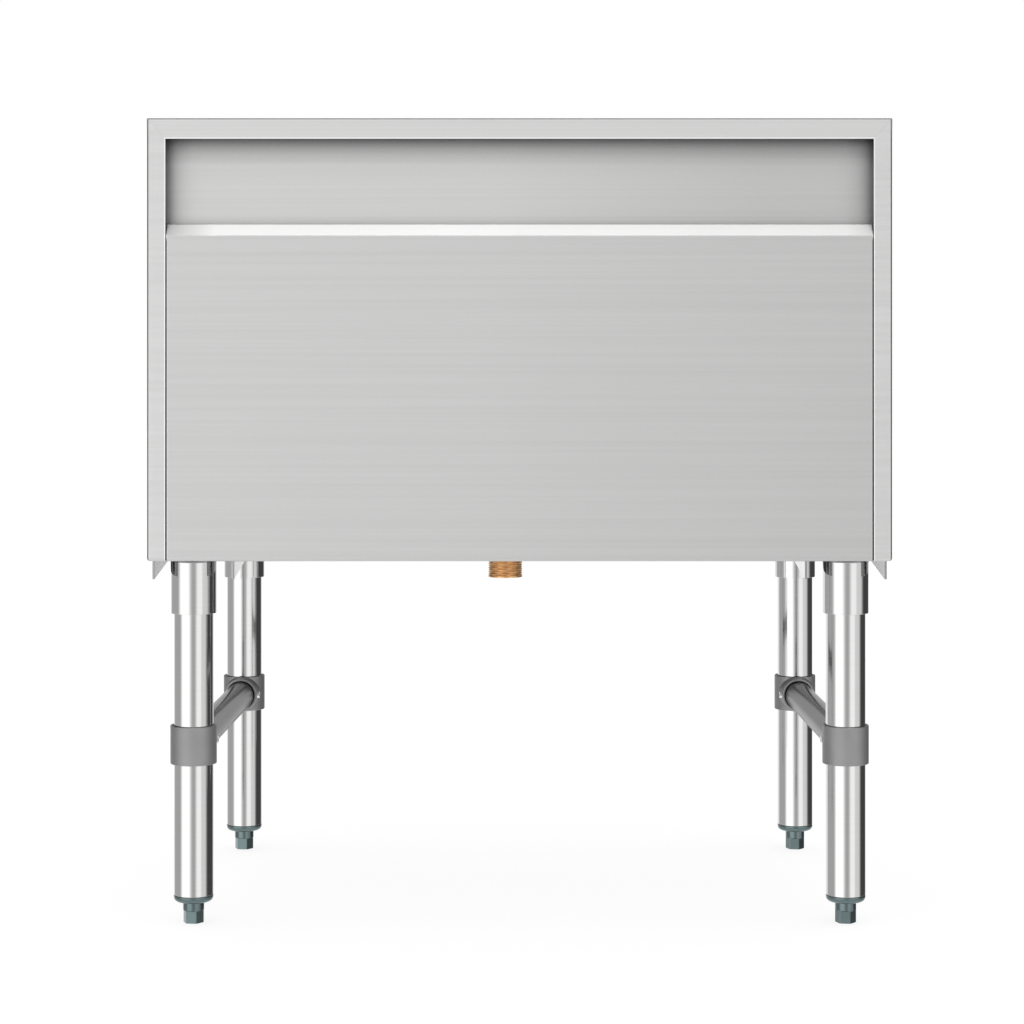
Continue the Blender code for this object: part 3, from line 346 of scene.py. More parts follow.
def tinted(tree, mask, colour, dark, light):
    """Colour that a mask darkens and lightens."""
    darkened = (*(channel * dark for channel in colour), 1)
    lightened = (*(min(channel * light, 1) for channel in colour), 1)
    return node_in(tree, "ShaderNodeMix", {0: mask, 6: darkened, 7: lightened}, data_type="RGBA").outputs[2]


def bumped(tree, height, strength, distance):
    """Normal that a height moves."""
    inputs = {"Height": height, "Strength": strength, "Distance": distance}
    return node_in(tree, "ShaderNodeBump", inputs).outputs["Normal"]


def new_group(name, inputs, outputs):
    """Empty node group: its tree, the sockets that it is given, and its output node.

    The inputs are names with their first values, a vector's being a tuple, and the outputs are names.
    """
    tree = bpy.data.node_groups.new(name, "ShaderNodeTree")
    for label, value in inputs.items():
        kind = "NodeSocketVector" if isinstance(value, tuple) else "NodeSocketFloat"
        tree.interface.new_socket(label, in_out="INPUT", socket_type=kind).default_value = value
    for label in outputs:
        tree.interface.new_socket(label, in_out="OUTPUT", socket_type="NodeSocketFloat")
    return tree, tree.nodes.new("NodeGroupInput").outputs, tree.nodes.new("NodeGroupOutput")


def brushing_group():
    """Lines along one direction: noise stretched by a vector, mixed with broader bands and smudges.

    The streaks are the lines times the bands plus the bands, over 1.5, and the gloss is the mean of the
    streaks and the smudges.
    """
    tree, given, result = new_group(
        "Brushing", {"Vector": (0, 0, 0), "Stretch": (6, 700, 700), "Smudge size": 9.0},
        ("Lines", "Streaks", "Gloss"))
    stretched = node_in(tree, "ShaderNodeVectorMath", {0: given["Vector"], 1: given["Stretch"]},
                        operation="MULTIPLY").outputs[0]
    lines = noise(tree, stretched, 1.0, 3.0, 0.65)
    bands = noise(tree, stretched, 0.22, 2.0)
    smudges = noise(tree, given["Vector"], given["Smudge size"], 4.0, 0.55, 0.6)
    streaks = maths(tree, "MULTIPLY", maths(tree, "MULTIPLY_ADD", lines, bands, bands), 1 / 1.5)
    gloss = maths(tree, "MULTIPLY", maths(tree, "ADD", streaks, smudges), 0.5)
    for label, value in (("Lines", lines), ("Streaks", streaks), ("Gloss", gloss)):
        tree.links.new(value, result.inputs[label])
    return tree


def grain_group():
    """Fine round grain for cast, moulded and foamed surfaces, with broad soft patches."""
    tree, given, result = new_group(
        "Grain", {"Vector": (0, 0, 0), "Grains per metre": 1500.0, "Patches per metre": 40.0},
        ("Grain", "Patches"))
    for label, scale, detail in (("Grain", "Grains per metre", 2.0), ("Patches", "Patches per metre", 4.0)):
        tree.links.new(noise(tree, given["Vector"], given[scale], detail), result.inputs[label])
    return tree


def spangle_group():
    """Zinc spangle: cells of slightly different brightness with a fine frost in them."""
    tree, given, result = new_group(
        "Zinc spangle", {"Vector": (0, 0, 0), "Cells per metre": 150.0}, ("Cells", "Frost"))
    cells = node_in(tree, "ShaderNodeTexVoronoi",
                    {"Vector": given["Vector"], "Scale": given["Cells per metre"]})
    frost = node_in(tree, "ShaderNodeTexNoise", {"Vector": given["Vector"], "Scale": 900.0, "Detail": 3.0})
    grey = node_in(tree, "ShaderNodeRGBToBW", {"Color": cells.outputs["Color"]})
    tree.links.new(grey.outputs["Val"], result.inputs["Cells"])
    tree.links.new(frost.outputs["Fac"], result.inputs["Frost"])
    return tree


def painted_corner_shade_group():
    """Painted corner shade: the open share of the surroundings, mostly of those above, raised to a power,
    which darkens the colour in corners and recesses.
    """
    tree, given, result = new_group("Painted corner shade", {"Reach": 0.045, "Power": 0.5}, ("Shade",))
    surface = tree.nodes.new("ShaderNodeNewGeometry")
    lifted = node_in(tree, "ShaderNodeVectorMath", {0: surface.outputs["Normal"], 1: (0, 0, 1)},
                     operation="ADD")
    upwards = node_in(tree, "ShaderNodeVectorMath", {0: lifted.outputs[0]}, operation="NORMALIZE")
    around = node_in(tree, "ShaderNodeAmbientOcclusion",
                     {"Distance": given["Reach"], "Normal": upwards.outputs[0]}, samples=8)
    tree.links.new(maths(tree, "POWER", around.outputs["AO"], given["Power"]), result.inputs["Shade"])
    return tree


def painted_light_zone_group():
    """Painted light in a zone: a factor of painted shade or painted highlight where the ramps over X, Y, Z
    and the width across are all full, 1 elsewhere.

    Across is X without its sign. A ramp whose places aren't given is full everywhere on the bin.
    """
    axes = ("X", "Y", "Z", "Across")
    inputs = {"Vector": (0, 0, 0), "Factor": 1.0}
    for axis in axes:
        inputs.update({axis + " start": -2.0, axis + " full": -1.0})
    tree, given, result = new_group("Painted light in a zone", inputs, ("Shade",))
    split = node_in(tree, "ShaderNodeSeparateXYZ", {"Vector": given["Vector"]}).outputs
    values = {"X": split["X"], "Y": split["Y"], "Z": split["Z"],
              "Across": maths(tree, "ABSOLUTE", split["X"])}
    mask = 1.0
    for axis in axes:
        rise = ramp(tree, values[axis], given[axis + " start"], given[axis + " full"])
        mask = maths(tree, "MULTIPLY", mask, rise)
    tree.links.new(varied(tree, mask, 1.0, given["Factor"]), result.inputs["Shade"])
    return tree


GROUP_MAKERS = {"Brushing": brushing_group, "Grain": grain_group, "Zinc spangle": spangle_group,
                "Painted corner shade": painted_corner_shade_group, "Painted light in a zone": painted_light_zone_group}
GROUPS = {}


def group_in(tree, name, inputs=()):
    """Outputs of a node of a shared group, which is built the first time that a finish asks for it."""
    if name not in GROUPS:
        GROUPS[name] = GROUP_MAKERS[name]()
    return node_in(tree, "ShaderNodeGroup", inputs, node_tree=GROUPS[name]).outputs


# Finishes

def zone(factor, **ramps):
    """Inputs of the group "Painted light in a zone": its factor, and the start and full place of each ramp.
    """
    inputs = {"Factor": factor}
    for axis, (start, full) in ramps.items():
        inputs[axis.capitalize() + " start"] = start
        inputs[axis.capitalize() + " full"] = full
    return inputs


def depths(face, start, full):
    """Two places inside an outer face of the casing, given by their depths below it."""
    inward = math.copysign(1, -face)
    return face + inward * start, face + inward * full


# Painted light on the casing's sheets: painted highlights on the flanges' free edges, painted shade on their
# folds, in the hollow and at the lip's ends, and a painted shade that grows towards +X over the panels and
# the hollow
FREE_EDGE = depths(BACK, 0.0012, 0.0009)
FOLD_EDGE = depths(BACK, 0.0029, 0.0023)
HOLLOW = {"y": depths(BACK, 0.0245, 0.0241), "z": depths(TOP, 0.0211, 0.0214)}
LIP = (DECK + 0.0001, DECK + 0.0003)
SIDE_PAINTED_LIGHT = (zone(1.4, across=depths(HALF_WIDTH, 0.0177, 0.0179), y=FREE_EDGE),
               zone(0.42, across=depths(HALF_WIDTH, 0.0024, 0.0014), y=FOLD_EDGE))
TOP_PAINTED_LIGHT = (zone(1.4, z=depths(TOP, 0.0196, 0.0198), y=FREE_EDGE),
              zone(0.42, z=depths(TOP, 0.0018, 0.0008), y=FOLD_EDGE),
              zone(0.95, **HOLLOW),
              zone(0.87, x=(-0.03, 0.25), **HOLLOW))
PANEL_PAINTED_SHADE = (zone(0.62, z=LIP, x=(-0.312, -0.362)),
                zone(0.86, z=LIP, x=(0.335, 0.362)),
                zone(0.93, x=(-0.05, 0.36)))


def new_material(name, metallic):
    """Material with a set Metallic, its node tree, and the place of each point on its piece."""
    material = bpy.data.materials.new(name)
    material.use_nodes = True
    tree = material.node_tree
    tree.nodes["Principled BSDF"].inputs["Metallic"].default_value = metallic
    return material, tree, tree.nodes.new("ShaderNodeTexCoord").outputs["Object"]


def connect(tree, colour, roughness, normal):
    """Link what a finish has worked out to its material's shader, and return the shader."""
    shader = tree.nodes["Principled BSDF"]
    for label, value in (("Base Color", colour), ("Roughness", roughness), ("Normal", normal)):
        tree.links.new(value, shader.inputs[label])
    return shader


def metal(name, colour, roughness, stretch, contrast, spread, bump, painted_light=None, glint=1.0):
    """Brushed or polished metal: lines along one direction vary its colour, gloss and surface.

    With painted light, its colour gets painted shade in corners and recesses, and painted highlights and
    painted shade in its zones. The glint is how bright its grazing reflections are.
    """
    material, tree, place = new_material(name, 1.0)
    brushing = group_in(tree, "Brushing", {"Vector": place, "Stretch": stretch})
    tint = tinted(tree, brushing["Streaks"], colour, 1 - contrast, 1 + contrast)
    # painted shade in corners, and painted highlights and painted shade in zones, multiply the base colour
    if painted_light is not None:
        painted_light_factor = group_in(tree, "Painted corner shade")["Shade"]
        for inputs in painted_light:
            part = group_in(tree, "Painted light in a zone", {"Vector": place, **inputs})["Shade"]
            painted_light_factor = maths(tree, "MULTIPLY", painted_light_factor, part)
        tint = node_in(tree, "ShaderNodeMix", {0: 1.0, 6: tint, 7: painted_light_factor}, data_type="RGBA",
                       blend_type="MULTIPLY").outputs[2]
    gloss = varied(tree, brushing["Gloss"], roughness - spread, roughness + spread)
    shader = connect(tree, tint, gloss, bumped(tree, brushing["Lines"], bump, 0.0001))
    shader.inputs["Specular Tint"].default_value = (glint, glint, glint, 1)
    return material


def grained(name, colour, roughness, metallic, grains, contrast, bump):
    """Cast, moulded or foamed material with a fine round grain."""
    material, tree, place = new_material(name, metallic)
    grain = group_in(tree, "Grain", {"Vector": place, "Grains per metre": grains})
    connect(tree, tinted(tree, grain["Patches"], colour, 1 - contrast, 1 + contrast),
            varied(tree, grain["Grain"], roughness - 0.05, roughness + 0.05),
            bumped(tree, grain["Grain"], bump, 0.0002))
    return material


def galvanised(name, colour, roughness):
    """Zinc-coated sheet with spangle."""
    material, tree, place = new_material(name, 1.0)
    spangle = group_in(tree, "Zinc spangle", {"Vector": place})
    connect(tree, tinted(tree, spangle["Cells"], colour, 0.86, 1.12),
            varied(tree, spangle["Cells"], roughness - 0.08, roughness + 0.1),
            bumped(tree, spangle["Frost"], 0.15, 0.0001))
    return material


def finish_table(looks):
    """For each finish its kind of material and that material's values, in the order of its arguments.

    For a metal they are name, colour, roughness, lines per metre along each axis, contrast, spread of the
    roughness, bump, painted light and shade, and glint. For a grained one they are name, colour, roughness,
    metallic, grains per metre, contrast and bump.
    """
    return {
        "brushed_sheet": (metal, "Brushed sheet", looks.sheet_colour, looks.sheet_roughness,
                          (5, 900, 1100), looks.brushing, 0.02, 0.03, TOP_PAINTED_LIGHT),
        "side_sheet": (metal, "Brushed side sheet", looks.sheet_colour, looks.sheet_roughness,
                       (5, 5, 1100), looks.brushing, 0.02, 0.03, SIDE_PAINTED_LIGHT),
        "panel_sheet": (metal, "Brushed panel sheet", looks.panel_colour, looks.sheet_roughness,
                        (5, 900, 1100), looks.brushing, 0.02, 0.03, PANEL_PAINTED_SHADE),
        "well_sheet": (metal, "Well sheet", looks.well_colour, looks.well_roughness,
                       (9, 9, 900), looks.brushing, 0.03, 0.05),
        "tube": (metal, "Polished tube", looks.tube_colour, looks.tube_roughness,
                 (60, 60, 1500), 0.012, 0.015, 0.01),
        "socket": (metal, "Polished cup", looks.tube_colour, looks.tube_roughness,
                   (60, 60, 1400), 0.012, 0.015, 0.01),
        "rail": (metal, "Satin rail", looks.rail_colour, 0.2, (900, 40, 900), 0.05, 0.04, 0.05, None, 0.5),
        "bracket": (metal, "Bracket sheet", looks.bracket_colour, 0.16, (60, 60, 900), 0.03, 0.03, 0.02),
        "screw": (metal, "Bright steel", looks.screw_colour, 0.14, (700, 700, 700), 0.04, 0.04, 0.04),
        "brass": (metal, "Turned brass", looks.brass_colour, 0.27, (70, 70, 1800), 0.06, 0.06, 0.06),
        "collar": (grained, "Satin casting", looks.collar_colour, 0.52, 1.0, 1900, 0.05, 0.1),
        "foot": (grained, "Foot casting", looks.foot_colour, 0.22, 0.9, 2300, 0.05, 0.04),
        "gasket": (grained, "Black rubber", looks.rubber_colour, 0.68, 0.0, 1800, 0.15, 0.2),
        "foam": (grained, "Insulation foam", looks.foam_colour, 0.88, 0.0, 700, 0.1, 0.5),
        "galvanised": (galvanised, "Galvanised sheet", looks.zinc_colour, 0.42),
    }


FINISHES = {}


def finish_material(finish):
    """Material of a finish, built the first time that a piece asks for it."""
    if finish not in FINISHES:
        kind, *values = finish_table(bpy.context.scene.ice_bin_finishes)[finish]
        FINISHES[finish] = kind(*values)
    return FINISHES[finish]


# Sizes and colours that a user would change

def length(name, description, default, high=1.0):
    return FloatProperty(name=name, description=description, default=default, min=0.0, max=high,
                         unit="LENGTH", precision=4)


def colour(name, description, default):
    return FloatVectorProperty(name=name, description=description, default=default, size=3, min=0, max=1,
                               subtype="COLOR")


def fraction(name, description, default):
    return FloatProperty(name=name, description=description, default=default, min=0, max=1, subtype="FACTOR")


class CasingSizes(bpy.types.PropertyGroup):
    """Sizes of the folded sheet casing."""
    sheet: length("Sheet", "Thickness of the stainless sheet", 0.0012)
    bend: length("Bend", "Outer radius of the end panels' folds", 0.0026)
    lip_bend: length("Lip bend", "Outer radius of the folds at the top of the rear panel", 0.0006)
    fold: length("Fold", "Outer radius of the folds of the top and side sheets", 0.003)
    crest: length("Crest", "Outer radius of the backsplash's upper folds", 0.0016)
    edge: length("Edge", "Round on the cut edges of the sheet", 0.0005)
    side_flange: length("Side flange", "Width of the side sheets' folded flanges", 0.019)
    top_flange: length("Top flange", "Height of the flange along the backsplash", 0.021)
    splash: length("Backsplash", "Thickness of the hollow backsplash", 0.025)
    deck: length("Deck", "Height of the deck", DECK)
    cove: length("Cove", "Radius between the deck and the backsplash", 0.010)
    nose: length("Nose", "Radius of the deck's front edge", 0.008)
    skirt: length("Skirt", "Height of the skirt below the deck's front edge", 0.038)
    relief: length("Relief", "Notch of the side sheets behind the end of the skirt", 0.003)
    lip_rise: length("Lip rise", "Rise of the rear panel's sloped upper lip", 0.012)
    lip_run: length("Lip run", "Depth over which the rear panel's upper lip rises", 0.008)
    lip_turn: length("Lip turn", "Half the depth of the bend where the lip turns level", 0.0004)
    seam: length("Seam", "Width of the welded seams", 0.0003)
    hem: length("Hem", "Radius of the deck's edge round the well", 0.0035)


class WellSizes(bpy.types.PropertyGroup):
    """Sizes of the well, its covers and their rails."""
    corner: length("Corner", "Radius of the well's upright corners", 0.022)
    cove: length("Floor cove", "Radius between the walls and the floor", 0.016)
    floor: length("Floor", "Height of the floor at the walls", 0.423)
    fall: length("Fall", "Fall of the floor towards the drain", 0.008)
    upper_shelf: length("Upper shelf", "Height of the cover rails' upper shelf", 0.699)
    lower_shelf: length("Lower shelf", "Height of the cover rails' lower shelf", 0.686)
    shelf: length("Shelf", "Depth of each shelf of the cover rails", 0.015)
    cover_corner: length("Cover corner", "Corner radius of the sliding covers", 0.025)
    cover_edge: length("Cover edge", "Radius of the covers' folded edge", 0.0025)
    pull_radius: length("Pull", "Radius of the round finger pulls", 0.0175)
    pull_sheet: length("Pull sheet", "Thickness of the finger pulls' sheet", 0.0008)


class LegSizes(bpy.types.PropertyGroup):
    """Sizes of the legs, their fittings and the cross rails."""
    bracket_sheet: length("Bracket sheet", "Thickness of the leg brackets' sheet", 0.0025)
    deep_cheek: length("Deep cheek", "Height of the brackets' cheeks at the leg", 0.0217)
    shallow_cheek: length("Shallow cheek", "Height of the brackets' cheeks at their far end", 0.0077)
    tube_radius: length("Tube", "Radius of the leg tubes", 0.02065)
    tube_wall: length("Tube wall", "Wall of the leg tubes and cross rails", 0.0015)
    rail_radius: length("Cross rail", "Radius of the cross rails", 0.0159)
    rail_height: length("Rail height", "Height of the cross rails' axes", (RAIL_LOW[2] + RAIL_HIGH[2]) / 2)
    socket_radius: length("Socket", "Radius of the leg sockets", 0.0239)
    socket_crown: length("Socket crown", "Thickness of the sockets' closed top", 0.004)
    collar_radius: length("Collar", "Radius of the clamp collars", 0.02415)
    boss_radius: length("Boss", "Radius of the collars' bosses", 0.0195)
    boss_reach: length("Boss reach", "Reach of the bosses from the legs' axes", 0.034)
    boss_round: length("Boss round", "Round on the bosses' rim and flare at their root", 0.0012)
    rail_gap: length("Rail gap", "Gap between a cross rail and its boss", 0.0007)
    screw_place: length("Screw place", "Distance of a collar's set screw from the leg's axis", 0.0285)
    screw_proud: length("Screw proud", "Height of a collar's set screw over its boss", 0.0025)
    neck_radius: length("Foot neck", "Radius of the feet's round necks", 0.011)
    hexagon_flat: length("Foot hexagon", "Half the width across the feet's flats", 0.0095)
    hexagon_height: length("Hexagon height", "Height of the feet's hexagons", 0.013)
    foot_turn: FloatProperty(name="Foot turn", description="Turn of the corners of the feet's hexagons",
                             default=math.radians(-9.4), subtype="ANGLE")
    stud_radius: length("Stud", "Radius of the feet's threaded studs", 0.006)
    sides: IntProperty(name="Sides", description="Number of faces round a tube", default=96, min=24, max=256)


class Finishes(bpy.types.PropertyGroup):
    """Colours and gloss of the finishes."""
    sheet_colour: colour("Sheet", "Colour of the brushed top and sides", (0.69, 0.69, 0.686))
    panel_colour: colour("Panel", "Colour of the brushed rear and front panels", (0.63, 0.63, 0.627))
    sheet_roughness: fraction("Sheet roughness", "Roughness of the brushed sheet", 0.42)
    brushing: fraction("Brushing", "Contrast of the brushing lines", 0.028)
    well_colour: colour("Well", "Colour of the well's sheet", (0.66, 0.66, 0.655))
    well_roughness: fraction("Well roughness", "Roughness of the well's sheet", 0.25)
    tube_colour: colour("Tube", "Colour of the polished tubes", (0.56, 0.56, 0.557))
    tube_roughness: fraction("Tube roughness", "Roughness of the polished tubes", 0.08)
    rail_colour: colour("Rail", "Colour of the satin cross rails", (0.34, 0.34, 0.34))
    bracket_colour: colour("Bracket", "Colour of the leg brackets", (0.42, 0.42, 0.42))
    collar_colour: colour("Collar", "Colour of the satin clamp collars", (0.31, 0.31, 0.31))
    screw_colour: colour("Screw", "Colour of the set screws and the strainer", (0.75, 0.75, 0.74))
    brass_colour: colour("Brass", "Colour of the drain", (0.78, 0.5, 0.27))
    zinc_colour: colour("Zinc", "Colour of the galvanised sheet", (0.5, 0.51, 0.52))
    foot_colour: colour("Foot", "Colour of the moulded feet and inserts", (0.135, 0.18, 0.184))
    foam_colour: colour("Foam", "Colour of the insulation", (0.84, 0.76, 0.52))
    rubber_colour: colour("Rubber", "Colour of the drain's gasket", (0.04, 0.04, 0.04))


class StudioSizes(bpy.types.PropertyGroup):
    """Floor, light and camera."""
    camera_distance: length("Camera distance", "Distance of the camera behind the bin", 3.0795, high=20)
    camera_height: length("Camera height", "Height of the camera", 0.634, high=5)
    lens: FloatProperty(name="Lens", description="Focal length on a 36 mm sensor", default=96.8, min=10,
                        max=400, unit="CAMERA")
    shift_right: FloatProperty(name="Shift right", description="Shift of the picture, in its own widths",
                               default=-0.0074, min=-1, max=1)
    shift_up: FloatProperty(name="Shift up", description="Upward shift of the picture, in its own widths",
                            default=-0.1925, min=-1, max=1)
    floor_radius: length("Floor", "Radius of the floor", 12.0, high=50)
    floor_white: fraction("Floor white", "Brightness of the floor where the camera sees it", 0.82)
    floor_grey: fraction("Floor grey", "Grey that lets the floor keep the bin's shadow", 0.22)
    tent_radius: length("Tent", "Radius of the tent of soft cards round the bin", 14.0, high=40)


# Casing

def folded_shell(outline, normals, lay, width, bend, round_edge, sheet, stops=(), steps=4):
    """Closed shell of a flat sheet with a flange folded back along its outline.

    Across the outline runs one profile: an outer fold of radius bend, the flange out to its width, a cut
    edge with small rounds, and the fold's inner side. width, bend and round_edge may differ along the
    outline. The flange gets a row of points of its own at each of the stops. lay turns inset points and
    depths into space.
    """
    count = len(outline)
    width, bend, round_edge = (np.broadcast_to(value, count)[:, None].astype(float)
                               for value in (width, bend, round_edge))
    turn = np.broadcast_to(np.linspace(0, math.pi / 2, steps + 1), (count, steps + 1))
    small = np.linspace(0, math.pi / 2, 3)[None]
    stops = np.broadcast_to(np.asarray(stops, float), (count, len(stops)))
    # a tight fold still has a trace of an inner radius, so that its points stay apart
    inner = np.maximum(bend - sheet, sheet / 20)
    inset = [bend - bend * np.sin(turn), stops * 0, round_edge - round_edge * np.cos(small),
             sheet - round_edge + round_edge * np.sin(small), stops * 0 + sheet,
             sheet + inner - inner * np.sin(turn[:, ::-1])]
    depth = [bend - bend * np.cos(turn), stops, width - round_edge + round_edge * np.sin(small),
             width - round_edge + round_edge * np.cos(small), stops[:, ::-1],
             sheet + inner - inner * np.cos(turn[:, ::-1])]
    flat = outline[:, None] + normals[:, None] * np.concatenate(inset, 1)[..., None]
    return lay(flat, np.concatenate(depth, 1))


def casing_profile(sizes, low, high):
    """Outer line of the backsplash and deck from the back to the skirt, in Y and Z, as corners and radii."""
    splash_y = low[1] + sizes.splash
    corners = [(low[1], high[2]), (splash_y, high[2]), (splash_y, sizes.deck), (high[1], sizes.deck),
               (high[1], sizes.deck - sizes.skirt)]
    return corners, [sizes.crest, sizes.crest, sizes.cove, sizes.nose, 0]


def side_outline(sizes, low, high, mitre, skirt):
    """Outline and inward normals of a side sheet, clockwise from the foot of its back edge.

    It has knots where the flange changes its width: at the mitre, and at the relief behind the skirt.
    """
    crown, radii = casing_profile(sizes, low, high)
    corners = [(low[1], low[2]), (low[1], mitre)] + crown[:-1]
    corners += [(high[1], skirt + sizes.relief), (high[1] - sizes.relief, skirt + sizes.relief),
                (high[1] - sizes.relief, skirt), (high[1], skirt), (high[1], low[2])]
    corner = sizes.fold + sizes.seam
    outline, normals = arc_path(corners, [corner, 0] + radii[:-1] + [0, 0, 0, 0, corner], 6, closed=True)
    return outline, -normals


class ICEBIN_OT_side_sheets(bpy.types.Operator):
    """Side sheets with flanges folded in along the back, the bottom and the front"""
    bl_idname = "icebin.side_sheets"
    bl_label = "Side sheets"

    def execute(self, context):
        sizes = context.scene.ice_bin_casing
        narrow_bend = 0.00125
        # tells the back edge from the rest of the outline, and a flange from a narrow edge
        limit = 0.004
        for node, side in (("left_side_panel", -1), ("right_side_panel", 1)):
            low, high = box_of(node)
            outer = high[0] if side > 0 else low[0]
            mitre = high[2] - sizes.top_flange
            skirt = sizes.deck - sizes.skirt - sizes.seam
            outline, normals = side_outline(sizes, low, high, mitre, skirt)
            y, z = outline.T
            flanged = ((y < low[1] + limit) & (z <= mitre + MERGE)) | (z <= skirt + MERGE)
            tapered = (y < low[1] + sizes.fold) & (z > mitre + MERGE)
            width = np.where(flanged, sizes.side_flange, NARROW_EDGE)
            # along the mitre the flange laps a little over the end of the top sheet's flange
            slope = (sizes.side_flange - NARROW_EDGE) / (sizes.top_flange - sizes.fold)
            mitred = sizes.side_flange + 2 * sizes.seam - slope * (z - mitre)
            width = np.where(tapered, np.maximum(mitred, NARROW_EDGE), width)
            bend = np.where(width > limit, sizes.fold, narrow_bend)
            edge = np.where((y < low[1] + sizes.fold) & (z > mitre - MERGE), SLIVER, sizes.edge)

            def lay(flat, depth):
                return np.stack([outer - side * depth, flat[..., 0], flat[..., 1]], -1)

            points = folded_shell(outline, normals, lay, width, bend, edge, sizes.sheet)
            shape = Shape().grid(points, rows_close=True, capped=True)
            make_piece(node.replace("panel", "sheet"), shape, "side_sheet", [node])
        return {"FINISHED"}


class ICEBIN_OT_top_sheet(bpy.types.Operator):
    """Top sheet: back flange, hollow backsplash, coved deck round the well and front skirt"""
    bl_idname = "icebin.top_sheet"
    bl_label = "Deck and backsplash"

    def execute(self, context):
        sizes = context.scene.ice_bin_casing
        well = context.scene.ice_bin_well
        low, high = box_of("left_side_panel")
        end_gap = 0.0004
        half = box_of("top_and_backsplash")[1][0] - end_gap
        crown, radii = casing_profile(sizes, low, high)
        path = rounded_profile([(low[1], high[2] - sizes.top_flange)] + crown, [0] + radii[:-1] + [0], 8)
        # the flange lies a sliver behind the side sheets' flanges, which lap over its ends
        path[:, 0] += np.where(path[:, 0] < low[1] + MERGE, SLIVER, 0)
        wall_low, wall_high = box_of("ice_liner")
        centre = (wall_low[:2] + wall_high[:2]) / 2
        mouth = (wall_high[:2] - wall_low[:2]) / 2 - WELL_RIM
        deck_back = low[1] + sizes.splash + sizes.cove
        deck_front = high[1] - sizes.nose

        # the deck runs from the hem round the well's mouth to a border on the deck's straight edges
        outset, drop = quarter_fold(sizes.hem, 5)
        rings = rectangle_rings(mouth, well.corner, centre, -outset, sizes.deck - drop)
        away = rounded_rectangle(mouth, well.corner, centre) - centre
        middle = np.array([0, (deck_back + deck_front) / 2])
        half_deck = np.array([half, (deck_front - deck_back) / 2])
        border = middle + np.clip(away / (mouth - well.corner * 0.3), -1, 1) * half_deck
        shape = Shape().grid(np.stack([*rings, raised(border, sizes.deck)]), columns_close=True)

        # behind and before it the outer line runs on, with columns at the border's own points
        corner = int(np.argmin(np.abs(path[:, 0] - deck_back) + np.abs(path[:, 1] - sizes.deck)))
        for line, edge_y in ((path[:corner + 1], deck_back), (path[corner + 1:], deck_front)):
            columns = np.unique(np.round(border[np.abs(border[:, 1] - edge_y) < MERGE, 0], 7))
            sheet = np.zeros((len(line), len(columns), 3))
            sheet[..., 0] = columns[None]
            sheet[..., 1:] = line[:, None]
            if line[0, 1] > sizes.deck:
                sheet[0, :, 0] *= (half - (sizes.side_flange - NARROW_EDGE)) / half
            shape.grid(sheet)
        make_piece("top_sheet", shape, "brushed_sheet", ["top_and_backsplash"], seen_from=(0, high[1] * 3),
                   wall=sizes.sheet, edge=sizes.edge)
        return {"FINISHED"}


class ICEBIN_OT_end_panels(bpy.types.Operator):
    """Rear panel with its sloped lip, and front panel below the deck's skirt"""
    bl_idname = "icebin.end_panels"
    bl_label = "Rear and front panels"

    def execute(self, context):
        sizes = context.scene.ice_bin_casing
        turn = sizes.lip_turn
        stops = sizes.lip_run + turn * np.array([-4, -2, -1, -0.5, 0, 0.5, 1, 2, 5])
        knot_depth = 0.005
        for node, inward in (("rear_panel", 1), ("front_panel", -1)):
            rear = inward > 0
            low, high = box_of(node)
            plane = low[1] if rear else high[1]
            top = sizes.deck if rear else high[2]
            knot = top - knot_depth
            small = sizes.lip_bend if rear else sizes.bend
            corners = [(low[0], low[2]), (high[0], low[2]), (high[0], knot), (high[0], top), (low[0], top),
                       (low[0], knot)]
            corner, tight = sizes.bend + sizes.seam, small + sizes.seam
            outline, normals = arc_path(corners, [corner, corner, 0, tight, tight, 0], 6, closed=True)
            upper = outline[:, 1] > knot + MERGE
            bend = np.where(upper, small, sizes.bend)

            def lay(flat, inside):
                return np.stack([flat[..., 0], plane + inward * inside, flat[..., 1]], -1)

            points = folded_shell(outline, normals, lay, high[1] - low[1], bend, sizes.edge, sizes.sheet,
                                  stops)
            if rear:
                # the lip rises evenly over its run, then turns level along a parabola
                inside = np.abs(points[..., 1] - plane)
                bent = np.clip(inside - (sizes.lip_run - turn), 0, 2 * turn)
                along = np.minimum(inside, sizes.lip_run + turn) - bent ** 2 / (4 * turn)
                points[..., 2] += upper[:, None] * along * sizes.lip_rise / sizes.lip_run
            shape = Shape().grid(points, rows_close=True, capped=True)
            make_piece(node + "_sheet", shape, "panel_sheet", [node])
        return {"FINISHED"}


# Well, rails and covers

